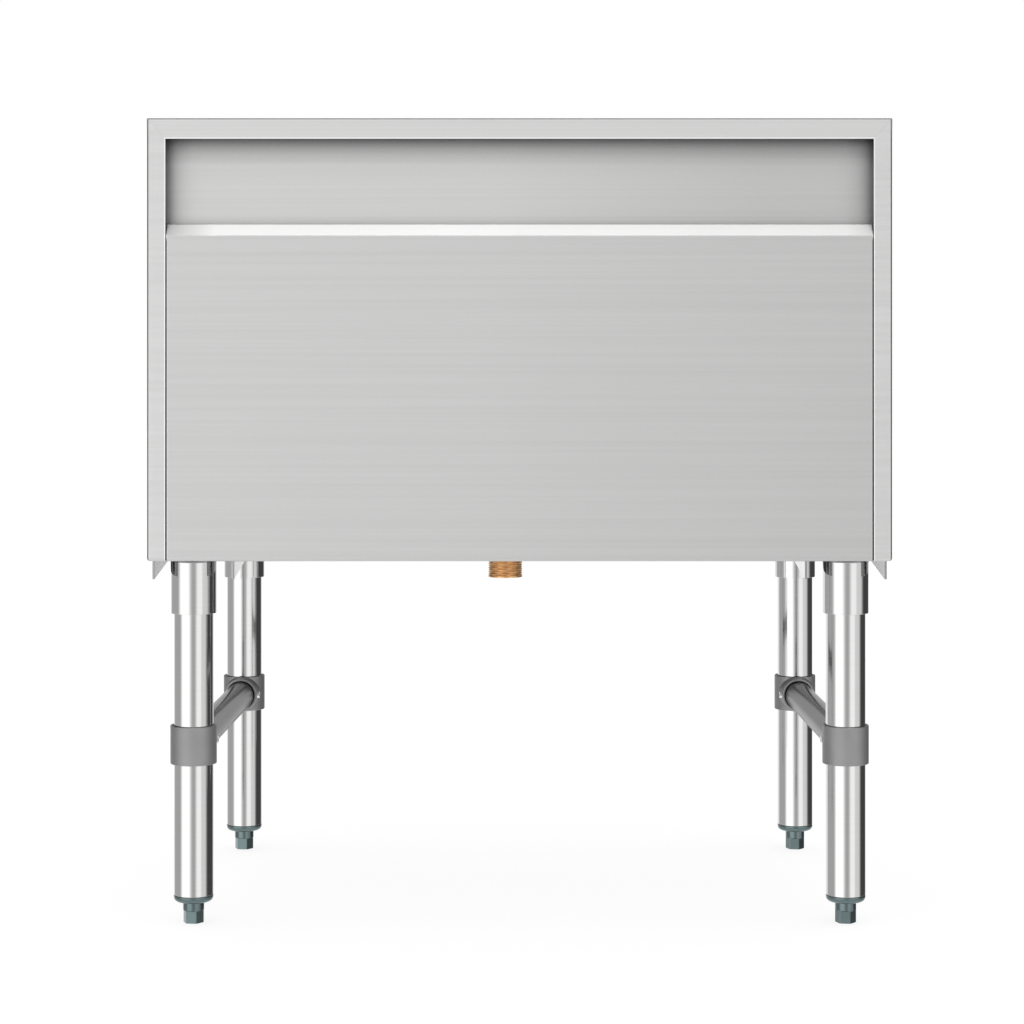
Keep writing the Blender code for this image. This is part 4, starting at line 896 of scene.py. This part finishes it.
class ICEBIN_OT_well(bpy.types.Operator):
    """Seamless well with coved corners and a floor that falls to the drain"""
    bl_idname = "icebin.well"
    bl_label = "Ice well"

    def execute(self, context):
        sizes = context.scene.ice_bin_casing
        well = context.scene.ice_bin_well
        low, high = box_of("ice_liner")
        half = (high[:2] - low[:2]) / 2 - WELL_RIM
        centre = (high[:2] + low[:2]) / 2
        drain_low, drain_high = box_of("drain_body")
        drain = (drain_low[:2] + drain_high[:2]) / 2
        seat = (drain_high[0] - drain_low[0]) / 2 + 0.0004
        nut_low, nut_high = box_of("drain_locknut")
        throat = (nut_high[0] - nut_low[0]) / 2 - 0.0105
        seat_z = well.floor - well.fall
        seat_depth, dish_width = 0.0029, 0.006

        walls = np.linspace(sizes.deck - sizes.hem - 0.0001, well.floor + well.cove, 5)
        inset, drop = quarter_fold(well.cove, 8)
        rings = rectangle_rings(half, well.corner, centre, np.concatenate([0 * walls, inset[1:]]),
                                np.concatenate([walls, well.floor + drop[1:]]), 10, (14, 10))
        edge = rings[-1][:, :2]
        bearing = bearings(edge, drain)
        dish = drain + bearing * (seat + dish_width)
        rings += [raised(edge * (1 - part) + dish * part, well.floor - well.fall * part)
                  for part in np.linspace(0, 1, 13)[1:]]
        # the floor turns down into the drain flange's seat, which runs in to the throat
        rings += [raised(drain + bearing * (seat + out), seat_z - down)
                  for out, down in ((0.0035, 0.0001), (0.0015, 0.0006), (0.0004, 0.0015), (0.0, seat_depth),
                                    (throat - seat, seat_depth))]
        shape = Shape().grid(np.stack(rings), columns_close=True)
        make_piece("well_liner", shape, "well_sheet", ["ice_liner"], seen_from=centre, wall=sizes.sheet)
        return {"FINISHED"}


class ICEBIN_OT_cover_rails(bpy.types.Operator):
    """Stepped rails in the mouth of the well, with an upper and a lower shelf"""
    bl_idname = "icebin.cover_rails"
    bl_label = "Cover rails"

    def execute(self, context):
        sizes = context.scene.ice_bin_casing
        well = context.scene.ice_bin_well
        bend = 0.0018
        for node, inward in (("rear_cover_rail", 1), ("front_cover_rail", -1)):
            low, high = box_of(node)
            back = (low if inward > 0 else high)[1] + inward * sizes.sheet
            corners = [(0, high[2]), (0, well.upper_shelf), (well.shelf, well.upper_shelf),
                       (well.shelf, well.lower_shelf), (2 * well.shelf, well.lower_shelf),
                       (2 * well.shelf, low[2])]
            path = rounded_profile(corners, [0, bend, bend, bend, bend, 0], 6)
            along = np.linspace(low[0], high[0], 9)
            points = np.stack(np.broadcast_arrays(along, back + inward * path[:, :1], path[:, 1:]), -1)
            make_piece(node.replace("rail", "track"), Shape().grid(points), "well_sheet", [node],
                       seen_from=(0, back + inward), wall=sizes.sheet, edge=sizes.edge)
        return {"FINISHED"}


class ICEBIN_OT_covers(bpy.types.Operator):
    """Two sliding covers, each a shallow folded pan with a round finger pull"""
    bl_idname = "icebin.covers"
    bl_label = "Sliding covers"

    def execute(self, context):
        sizes = context.scene.ice_bin_casing
        well = context.scene.ice_bin_well
        for node in ("left_cover", "right_cover"):
            low, high = box_of(node)
            pull_low, pull_high = box_of(node + "_pull")
            pull = (pull_low[:2] + pull_high[:2]) / 2
            centre = (high[:2] + low[:2]) / 2
            inset, drop = quarter_fold(well.cover_edge, 5)
            rings = rectangle_rings((high[:2] - low[:2]) / 2, well.cover_corner, centre, [0, *inset],
                                    [low[2], *(high[2] - drop)], 8, (20, 12))
            edge = rings[-1][:, :2]
            hole = pull + bearings(edge, pull) * (well.pull_radius + CLEARANCE)
            rings += [raised(edge * (1 - part) + hole * part, high[2]) for part in (0.5, 1)]
            shape = Shape().grid(np.stack(rings), columns_close=True)
            make_piece(node + "_pan", shape, "brushed_sheet", [node], body=node, seen_from=centre,
                       wall=sizes.sheet, edge=sizes.edge)

            cup = well.pull_radius - well.pull_sheet
            outer = (pull_high[0] - pull_low[0]) / 2
            top, floor = pull_high[2], pull_low[2] + well.pull_sheet
            corners = [(0, floor), (cup, floor), (cup, top), (outer, top), (outer, top - well.pull_sheet)]
            shape = Shape().turned(rounded_profile(corners, [0, 0.003, 0.0012, 0.0004, 0], 6), pull, 72)
            make_piece(node + "_finger_pull", shape, "well_sheet", [node + "_pull"], body=node,
                       seen_from=pull, wall=well.pull_sheet * 0.98)
        return {"FINISHED"}


# Drain

class ICEBIN_OT_drain(bpy.types.Operator):
    """Brass drain: flange and bowl in the floor, threaded nipple below the underside"""
    bl_idname = "icebin.drain"
    bl_label = "Drain"

    def execute(self, context):
        low, high = box_of("drain_body")
        centre = (low[:2] + high[:2]) / 2
        top, tail = high[2], low[2]
        flange, under_flange = (high[0] - low[0]) / 2, top - 0.0026
        nipple, bore, bowl, shoulder = 0.01905, 0.016, 0.030, 0.033
        brim, strainer_seat = bowl + 0.0025, top - 0.0018
        pitch, thread_depth = 0.00235, 0.0011
        thread_top, thread_end = top - 0.0202, tail + 0.0012
        fade_in, fade_out = 0.012, 0.001

        outside = rounded_profile([(brim, strainer_seat), (brim, top), (flange, top), (flange, under_flange),
                                   (shoulder, under_flange), (shoulder, top - 0.014), (nipple, top - 0.020)],
                                  [0.0002, 0.0006, 0.0012, 0.0004, 0.001, 0.003, 0], 4)
        inside = rounded_profile([(nipple, thread_end), (nipple, tail), (bore, tail), (bore, top - 0.017),
                                  (bowl, top - 0.011), (bowl, strainer_seat), (brim, strainer_seat)],
                                 [0, 0.0006, 0.0005, 0.003, 0.003, 0.0002, 0], 4)
        # the thread is a wave with flat crests and roots, which fades in and out at its ends
        angle = turns(96)
        heights = np.linspace(thread_top, thread_end, 150)
        crest = np.clip(thread_wave(heights, pitch, angle) * 1.5 - 0.25, 0, 1)
        fade = (np.clip((thread_top - heights) / fade_in, 0, 1)
                * np.clip((heights - thread_end) / fade_out, 0, 1))[:, None]
        thread = round_rows(nipple - thread_depth * (1 - crest) * fade, heights[:, None], angle, centre)
        rows = [round_rows(outside[:, :1], outside[:, 1:], angle, centre), thread,
                round_rows(inside[:, :1], inside[:, 1:], angle, centre)]
        shape = Shape().grid(np.concatenate(rows), columns_close=True)
        make_piece("drain_fitting", shape, "brass", ["drain_body"])
        return {"FINISHED"}


# Legs

Leg = namedtuple("Leg", "name side end axis run")


def leg_places():
    """Each leg's name, its signs along X and Y, its upright axis, and the way to the other end's leg."""
    signs = {"rear": -1, "front": 1, "left": -1, "right": 1}
    other_end = {"rear": "front", "front": "rear"}
    axes = {}
    for end in ("rear", "front"):
        for side in ("left", "right"):
            low, high = box_of(f"{end}_{side}_leg_tube")
            axes[end, side] = (low[:2] + high[:2]) / 2
    for (end, side), axis in axes.items():
        run = np.array([*(axes[other_end[end], side] - axis), 0])
        yield Leg(f"{end}_{side}", signs[side], signs[end], axis, run)


class ICEBIN_OT_brackets(bpy.types.Operator):
    """Channels under the body, deep at the leg and shallow at the toe"""
    bl_idname = "icebin.brackets"
    bl_label = "Leg brackets"

    def execute(self, context):
        legs = context.scene.ice_bin_legs
        bend, edge = 0.003, 0.0004
        for leg in leg_places():
            node = leg.name + "_leg_bracket"
            low, high = box_of(node)
            outer, inner = (high[0], low[0]) if leg.side > 0 else (low[0], high[0])
            heel, toe = (low[1], high[1]) if leg.end < 0 else (high[1], low[1])
            ends = []
            for station, cheek in ((heel, legs.deep_cheek), (toe, legs.shallow_cheek)):
                foot = high[2] - cheek
                corners = [(outer, foot), (outer, high[2]), (inner, high[2]), (inner, foot)]
                ends.append(np.insert(rounded_profile(corners, [0, bend, bend, 0], 6), 1, station, axis=1))
            along = np.linspace(0, 1, 7)[:, None, None]
            shape = Shape().grid(ends[0] * (1 - along) + ends[1] * along)
            make_piece(leg.name + "_channel", shape, "bracket", [node],
                       seen_from=leg.axis, wall=legs.bracket_sheet, edge=edge)
        return {"FINISHED"}


class ICEBIN_OT_sockets(bpy.types.Operator):
    """Turned cups that hold the legs' upper ends"""
    bl_idname = "icebin.sockets"
    bl_label = "Leg sockets"

    def execute(self, context):
        legs = context.scene.ice_bin_legs
        radius, bore = legs.socket_radius, legs.tube_radius + CLEARANCE
        for leg in leg_places():
            node = leg.name + "_leg_socket"
            low, high = box_of(node)
            crown = high[2] - legs.socket_crown
            corners = [(0, high[2]), (radius, high[2]), (radius, low[2]), (bore, low[2]), (bore, crown),
                       (0, crown)]
            profile = rounded_profile(corners, [0, 0.0022, 0.0003, 0.0003, 0.001, 0], 5)
            make_piece(leg.name + "_cup", Shape().turned(profile, leg.axis, legs.sides), "socket", [node])
        return {"FINISHED"}


class ICEBIN_OT_tubes(bpy.types.Operator):
    """Polished leg tubes and the two cross rails"""
    bl_idname = "icebin.tubes"
    bl_label = "Leg tubes and cross rails"

    def execute(self, context):
        legs = context.scene.ice_bin_legs
        places = list(leg_places())
        for leg in places:
            node = leg.name + "_leg_tube"
            low, high = box_of(node)
            shape = tube_shape(legs.tube_radius, legs.tube_wall, low[2], high[2], legs.sides, leg.axis)
            make_piece(leg.name + "_tube", shape, "tube", [node])
        start = legs.tube_radius + CLEARANCE + COLLAR_WEB + CLEARANCE
        for leg in places:
            if leg.end < 0:
                side = leg.name.removeprefix("rear_")
                span = np.linalg.norm(leg.run) - 2 * start
                origin = np.array([*leg.axis, legs.rail_height]) + unit(leg.run) * start
                shape = tube_shape(legs.rail_radius, legs.tube_wall, 0, span, legs.sides)
                make_piece(side + "_rail", shape.aimed(origin, leg.run, (0, 0, 1)), "rail",
                           [side + "_cross_rail"])
        return {"FINISHED"}


def boss_rows(legs, bore):
    """Boss of a collar, along Y from its leg's upright axis: rows round it, from its root into its bore.

    The root lies on the collar's own cylinder, where y is the root of the collar's radius squared less x
    squared, and it flares by the square of what is left of the way out to the rim.
    """
    reach, rounding = legs.boss_reach, legs.boss_round
    angle = turns(72)
    rise = np.linspace(0, 1, 7)[:, None]
    radius = legs.boss_radius + rounding * (1 - rise) ** 2
    root = np.sqrt(np.maximum(legs.collar_radius ** 2 - (radius * np.cos(angle)) ** 2, 0))
    outside = round_rows(radius, root + (reach - rounding - root) * rise, angle)
    hole = legs.rail_radius + legs.rail_gap
    corners = [(legs.boss_radius, reach - rounding), (legs.boss_radius, reach), (hole, reach),
               (hole, bore + COLLAR_WEB)]
    rim = rounded_profile(corners, [0, rounding, 0.0005, 0], 4)[1:]
    rows = np.concatenate([outside, round_rows(rim[:, :1], rim[:, 1:], angle)])
    return rows[..., [0, 2, 1]]


class ICEBIN_OT_collars(bpy.types.Operator):
    """Clamp collars, each with a bored boss that takes a cross rail"""
    bl_idname = "icebin.collars"
    bl_label = "Clamp collars"

    def execute(self, context):
        legs = context.scene.ice_bin_legs
        radius, bore = legs.collar_radius, legs.tube_radius + CLEARANCE
        mouth = radius - 0.002
        outer_round, mouth_round, bore_round = 0.0007, 0.0004, 0.0006
        for leg in leg_places():
            node = leg.name + "_collar"
            low, high = box_of(node)
            half = (high[2] - low[2]) / 2
            deep = half - 0.0022
            corners = [(radius, half), (radius, -half), (mouth, -half), (bore, -deep), (bore, deep),
                       (mouth, half)]
            radii = [outer_round, outer_round, mouth_round, bore_round, bore_round, mouth_round]
            profile = rounded_profile(corners, radii, 4, closed=True)
            shape = Shape().turned(profile, steps=legs.sides, closed=True)
            shape.grid(boss_rows(legs, bore), columns_close=True)
            shape.aimed([*leg.axis, (high[2] + low[2]) / 2], (0, 0, 1), np.cross(leg.run, (0, 0, 1)))
            make_piece(leg.name + "_clamp", shape, "collar", [node])
        return {"FINISHED"}


def set_screw(reach):
    """Set screw along Z with a hexagon recess: rings go from the tip up the side and down into the recess.

    The hexagon's radius is half its width across flats over the cosine of the angle from a flat's middle.
    """
    radius, half_flats, tip, crown, recess = 0.004, 0.0021, 0.0008, 0.0005, 0.0024
    angle = turns(48)
    hexagon = half_flats / np.cos((angle + math.pi / 6) % (math.pi / 3) - math.pi / 6)
    rows = [(0, 0), (radius - tip, 0), (radius, tip), (radius, reach - crown),
            (radius - 0.3 * crown, reach - 0.3 * crown), (radius - crown, reach), (hexagon * 1.08, reach),
            (hexagon, reach - 0.0002), (hexagon, reach - recess), (0, reach - recess - tip)]
    return Shape().grid(stacked_rings(rows, angle), columns_close=True)


class ICEBIN_OT_screws(bpy.types.Operator):
    """Set screws of the sockets and collars"""
    bl_idname = "icebin.screws"
    bl_label = "Set screws"

    def execute(self, context):
        legs = context.scene.ice_bin_legs
        for leg in leg_places():
            low, high = box_of(leg.name + "_socket_screw")
            middle = (low + high) / 2
            start = np.array([middle[0], low[1] if leg.end < 0 else high[1], middle[2]])
            shape = set_screw(high[1] - low[1]).aimed(start, (0, -leg.end, 0), (0, 0, 1))
            make_piece(leg.name + "_socket_set_screw", shape, "screw", [leg.name + "_socket_screw"],
                       sharp=30)

            run = unit(leg.run)
            inward = np.cross(run, (0, 0, 1))
            inward *= -leg.side * math.copysign(1, inward[0])
            start = (np.array([*leg.axis, legs.rail_height]) + run * legs.screw_place
                     + inward * (legs.rail_radius + CLEARANCE))
            reach = legs.boss_radius + legs.screw_proud - legs.rail_radius - CLEARANCE
            shape = set_screw(reach).aimed(start, inward, (0, 0, 1))
            make_piece(leg.name + "_collar_set_screw", shape, "screw", [leg.name + "_collar_screw"],
                       sharp=30)
        return {"FINISHED"}


def foot_rows(legs, axis, low, neck_top, high):
    """Rings of a foot from its sole up: hexagon, round neck and threaded stud.

    The hexagon's radius is half its width across flats over the cosine of the angle from a flat's middle,
    cut off at the neck's radius. The stud's radius is less by a triangular wave along its thread.
    """
    chamfer, pitch, thread_depth = 0.0005, 0.00175, 0.00075
    neck, stud, top = legs.neck_radius, legs.stud_radius, low + legs.hexagon_height
    angle = turns(144)
    from_flat = (angle - legs.foot_turn) % (math.pi / 3) - math.pi / 6
    hexagon = np.minimum(legs.hexagon_flat / np.cos(from_flat), neck)
    rows = [(0, 0), (hexagon * 0.6, 0), (np.minimum(hexagon, neck - chamfer), 0), (hexagon, chamfer * 0.9),
            (hexagon, top - 0.0006), ((hexagon + neck) / 2, top), (neck, top + 0.0002),
            (neck, neck_top - 0.0008), (neck - 0.0003, neck_top - 0.0002), (neck - 0.0008, neck_top)]
    heights = np.linspace(neck_top + 0.0001, high - 0.0012, 150)
    rows += zip(stud - thread_depth * thread_wave(heights, pitch, angle), heights)
    rows += [(stud - 0.0016, high), (0, high)]
    return stacked_rings(rows, angle, axis)


class ICEBIN_OT_feet(bpy.types.Operator):
    """Foot inserts in the tube ends and feet with a round neck and a hexagon"""
    bl_idname = "icebin.feet"
    bl_label = "Adjustable feet"

    def execute(self, context):
        legs = context.scene.ice_bin_legs
        plug = legs.tube_radius - legs.tube_wall - CLEARANCE
        bore = legs.stud_radius + CLEARANCE
        chamfer = 0.002
        for leg in leg_places():
            low, high = box_of(leg.name + "_foot_insert")
            shoulder = box_of(leg.name + "_leg_tube")[0][2] - CLEARANCE
            corners = [(bore, high[2]), (plug - chamfer, high[2]), (plug, high[2] - chamfer),
                       (plug, shoulder), (legs.tube_radius, shoulder), (legs.tube_radius, low[2]),
                       (bore, low[2])]
            radii = [0.0003, 0.0003, 0.0003, 0, 0.0005, 0.0052, 0.0004]
            profile = rounded_profile(corners, radii, 8, closed=True)
            shape = Shape().turned(profile, leg.axis, 72, closed=True)
            make_piece(leg.name + "_insert", shape, "foot", [leg.name + "_foot_insert"])

            neck_top = low[2] - CLEARANCE
            low, high = box_of(leg.name + "_foot")
            shape = Shape().grid(foot_rows(legs, leg.axis, low[2], neck_top, high[2]), columns_close=True)
            make_piece(leg.name + "_levelling_foot", shape, "foot", [leg.name + "_foot"],
                       body=leg.name + "_foot", sharp=28)
        return {"FINISHED"}


class ICEBIN_OT_inner_parts(bpy.types.Operator):
    """Parts that keep their CAD shape and get their finish: pan, foam, gasket, locknut and strainer"""
    bl_idname = "icebin.inner_parts"
    bl_label = "Inner parts"

    def execute(self, context):
        kept = {"bottom_pan": "galvanised", "foam_insulation": "foam", "drain_gasket": "gasket",
                "drain_locknut": "brass", "drain_strainer": "screw"}
        for node, finish in kept.items():
            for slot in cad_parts[node].material_slots:
                slot.material = finish_material(finish)
        return {"FINISHED"}


# Studio

# Bearing cards of the tent as first bearing, last bearing and level: 0 is the camera's side, 90 the right
LOW_CARDS = ((-180, -139, 1.2), (-129, -84, 0.6), (-70, -70, 1.0), (-50, -28, 1.9), (5, 5, 0.6),
             (30, 42, 1.5), (57, 68, 1.05), (82, 82, 0.7), (100, 140, 0.08), (172, 180, 1.0))
SIDE_CARDS = ((-180, -168, 0.95), (-150, -86, 0.15), (-66, -46, 1.12), (34, 34, 0.8), (52, 62, 1.05),
              (84, 150, 0.15), (168, 180, 0.95))
# Cards higher up as level, then the start and full angle of each edge, in bearing and in elevation
HIGH_CARDS = ((1.15, ((-80, -60), (80, 60)), ((8, 16), (44, 36))),
              (2.8, ((-46, -34), (46, 34)), ((50, 56), (78, 72))),
              (0.2, ((-90, -110),), ((28, 38), (94, 84))),
              (0.2, ((90, 110),), ((28, 38), (94, 84))))
BRIGHTEST = 2.0
ROOF = 0.72


def card_levels(tree, bearing, cards):
    """Brightness over the bearing: one level along each card, and an even change from one to the next."""
    curve = node_in(tree, "ShaderNodeFloatCurve", {"Value": bearing})
    places = sorted({(edge / 360 + 0.5, level / BRIGHTEST) for first, last, level in cards
                     for edge in (first, last)})
    points = curve.mapping.curves[0].points
    for number, place in enumerate(places):
        if number < 2:
            points[number].location = place
        else:
            points.new(*place)
    for point in points:
        point.handle_type = "AUTO_CLAMPED"
    curve.mapping.update()
    return maths(tree, "MULTIPLY", curve.outputs[0], BRIGHTEST)


def blended(tree, factor, first, second):
    """Value that runs from the first to the second with a factor."""
    return node_in(tree, "ShaderNodeMix", {0: factor, 2: first, 3: second}, data_type="FLOAT").outputs[0]


def emptied_material(name):
    """Material without nodes but its output, with its tree and the output's Surface input."""
    material = bpy.data.materials.new(name)
    material.use_nodes = True
    tree = material.node_tree
    tree.nodes.clear()
    return material, tree, tree.nodes.new("ShaderNodeOutputMaterial").inputs["Surface"]


def tent_material():
    """Light of the tent: low cards, side cards, a dim roof with a lamp in it, and a pale floor below.

    The mesh's own UV holds the bearing and the elevation, each from 0 to 1 over its whole span.
    """
    material, tree, surface = emptied_material("Soft cards")
    material.cycles.emission_sampling = "NONE"
    place = node_in(tree, "ShaderNodeUVMap", uv_map="direction")
    split = node_in(tree, "ShaderNodeSeparateXYZ", {"Vector": place.outputs["UV"]})
    bearing, elevation = (split.outputs["X"], 360), (split.outputs["Y"], 180)

    def rise(direction, start, full):
        value, span = direction
        return ramp(tree, value, start / span + 0.5, full / span + 0.5, "SMOOTHSTEP")

    level = blended(tree, rise(elevation, -2.6, -1.6), card_levels(tree, bearing[0], LOW_CARDS),
                    card_levels(tree, bearing[0], SIDE_CARDS))
    level = blended(tree, rise(elevation, 34, 44), level, ROOF)
    for card, sides, ends in HIGH_CARDS:
        edges = [rise(bearing, *limits) for limits in sides] + [rise(elevation, *limits) for limits in ends]
        mask = 1.0
        for edge in edges:
            mask = maths(tree, "MULTIPLY", mask, edge)
        level = blended(tree, mask, level, card)
    # below the bearing cards the floor shows more and more
    haze = maths(tree, "MULTIPLY", rise(elevation, -13, -15.5), 0.8)
    level = blended(tree, haze, level, 0.9)
    level = blended(tree, rise(elevation, -28, -40), level, 1.1)
    tree.links.new(node_in(tree, "ShaderNodeEmission", {"Strength": level}).outputs[0], surface)
    return material


def floor_material(white, grey):
    """Pale floor: a glow that camera, glossy and transmission rays see, and a grey that keeps a shadow."""
    material, tree, surface = emptied_material("Pale floor")
    rays = tree.nodes.new("ShaderNodeLightPath").outputs
    seen = maths(tree, "MAXIMUM", rays["Is Camera Ray"], rays["Is Glossy Ray"])
    seen = maths(tree, "MAXIMUM", seen, rays["Is Transmission Ray"])
    glow = node_in(tree, "ShaderNodeEmission",
                   {"Color": (1, 1, 1, 1), "Strength": varied(tree, seen, 0.0, white)})
    plain = node_in(tree, "ShaderNodeBsdfDiffuse", {"Color": (grey, grey, grey, 1)})
    total = node_in(tree, "ShaderNodeAddShader", {0: glow.outputs[0], 1: plain.outputs[0]})
    tree.links.new(total.outputs[0], surface)
    return material


def make_floor(sizes):
    """Round floor just below the feet."""
    level = -0.0002
    rings = round_rows(np.array([0, 1, 3, sizes.floor_radius])[:, None], level, turns(64))
    faces = grid_quads(*rings.shape[:2], columns_close=True)[:, ::-1].tolist()
    floor = new_object("floor", rings, faces, floor_material(sizes.floor_white, sizes.floor_grey))
    floor.visible_glossy = False
    return floor


def make_tent(radius):
    """Sphere that only reflections show: radius times the cosines and sines of bearing and elevation."""
    bearing = np.radians(np.linspace(-180, 180, 145))[None]
    elevation = np.radians(np.linspace(-90, 90, 73))[:, None]
    points = radius * np.stack(np.broadcast_arrays(np.sin(bearing) * np.cos(elevation),
                                                   -np.cos(bearing) * np.cos(elevation),
                                                   np.sin(elevation)), -1)
    tent = new_object("cards", points, grid_quads(*points.shape[:2]).tolist(), tent_material())
    mesh = tent.data
    direction = np.stack(np.broadcast_arrays(bearing / math.tau + 0.5, elevation / math.pi + 0.5), -1)
    corners = np.zeros(len(mesh.loops), int)
    mesh.loops.foreach_get("vertex_index", corners)
    uv = mesh.uv_layers.new(name="direction")
    uv.data.foreach_set("uv", direction.reshape(-1, 2)[corners].reshape(-1))
    tent.visible_camera = False
    tent.visible_shadow = False
    tent.visible_diffuse = False
    return tent


def even_light():
    """World of an even white."""
    world = bpy.data.worlds.new("Even light")
    world.use_nodes = True
    background = world.node_tree.nodes["Background"]
    background.inputs["Color"].default_value = (1, 1, 1, 1)
    background.inputs["Strength"].default_value = 1.0
    return world


def make_camera(sizes):
    """Level camera behind the bin, whose shift frames it as the photo does."""
    data = bpy.data.cameras.new("camera")
    data.lens = sizes.lens
    data.sensor_width = 36
    data.clip_end = 100
    data.shift_x = sizes.shift_right
    data.shift_y = sizes.shift_up
    camera = bpy.data.objects.new("camera", data)
    camera.location = (0, -sizes.camera_distance, sizes.camera_height)
    camera.rotation_euler = (math.pi / 2, 0, 0)
    return camera


class ICEBIN_OT_studio(bpy.types.Operator):
    """Pale floor, even light, a tent of soft cards that only reflections show, and the camera"""
    bl_idname = "icebin.studio"
    bl_label = "Studio"

    def execute(self, context):
        scene = context.scene
        sizes = scene.ice_bin_studio
        scene.view_settings.view_transform = "Standard"
        scene.world = even_light()
        floor = make_floor(sizes)
        cards = make_tent(sizes.tent_radius)
        camera = make_camera(sizes)
        scene.collection.objects.link(camera)
        scene.camera = camera
        return {"FINISHED"}


# Panel and run

OPERATORS = (ICEBIN_OT_side_sheets, ICEBIN_OT_top_sheet, ICEBIN_OT_end_panels, ICEBIN_OT_well,
             ICEBIN_OT_cover_rails, ICEBIN_OT_covers, ICEBIN_OT_drain, ICEBIN_OT_brackets, ICEBIN_OT_sockets,
             ICEBIN_OT_tubes, ICEBIN_OT_collars, ICEBIN_OT_screws, ICEBIN_OT_feet, ICEBIN_OT_inner_parts,
             ICEBIN_OT_studio)
SETTINGS = (("ice_bin_casing", CasingSizes), ("ice_bin_well", WellSizes), ("ice_bin_legs", LegSizes),
            ("ice_bin_finishes", Finishes), ("ice_bin_studio", StudioSizes))


class ICEBIN_PT_panel(bpy.types.Panel):
    """Sizes, colours and building steps of the ice bin"""
    bl_label = "Ice bin"
    bl_idname = "ICEBIN_PT_panel"
    bl_space_type = "VIEW_3D"
    bl_region_type = "UI"
    bl_category = "Ice bin"

    def draw(self, context):
        layout = self.layout
        for name, settings in SETTINGS:
            box = layout.box()
            box.label(text=settings.__doc__)
            for key in settings.__annotations__:
                box.prop(getattr(context.scene, name), key)
        for operator in OPERATORS:
            layout.operator(operator.bl_idname)


def register():
    for name, settings in SETTINGS:
        bpy.utils.register_class(settings)
        setattr(bpy.types.Scene, name, PointerProperty(type=settings))
    for item in (*OPERATORS, ICEBIN_PT_panel):
        bpy.utils.register_class(item)


def unregister():
    for item in reversed((*OPERATORS, ICEBIN_PT_panel)):
        bpy.utils.unregister_class(item)
    for name, settings in reversed(SETTINGS):
        delattr(bpy.types.Scene, name)
        bpy.utils.unregister_class(settings)


def main():
    register()
    for operator in OPERATORS:
        family, name = operator.bl_idname.split(".")
        getattr(getattr(bpy.ops, family), name)()


if __name__ == "__main__":
    main()
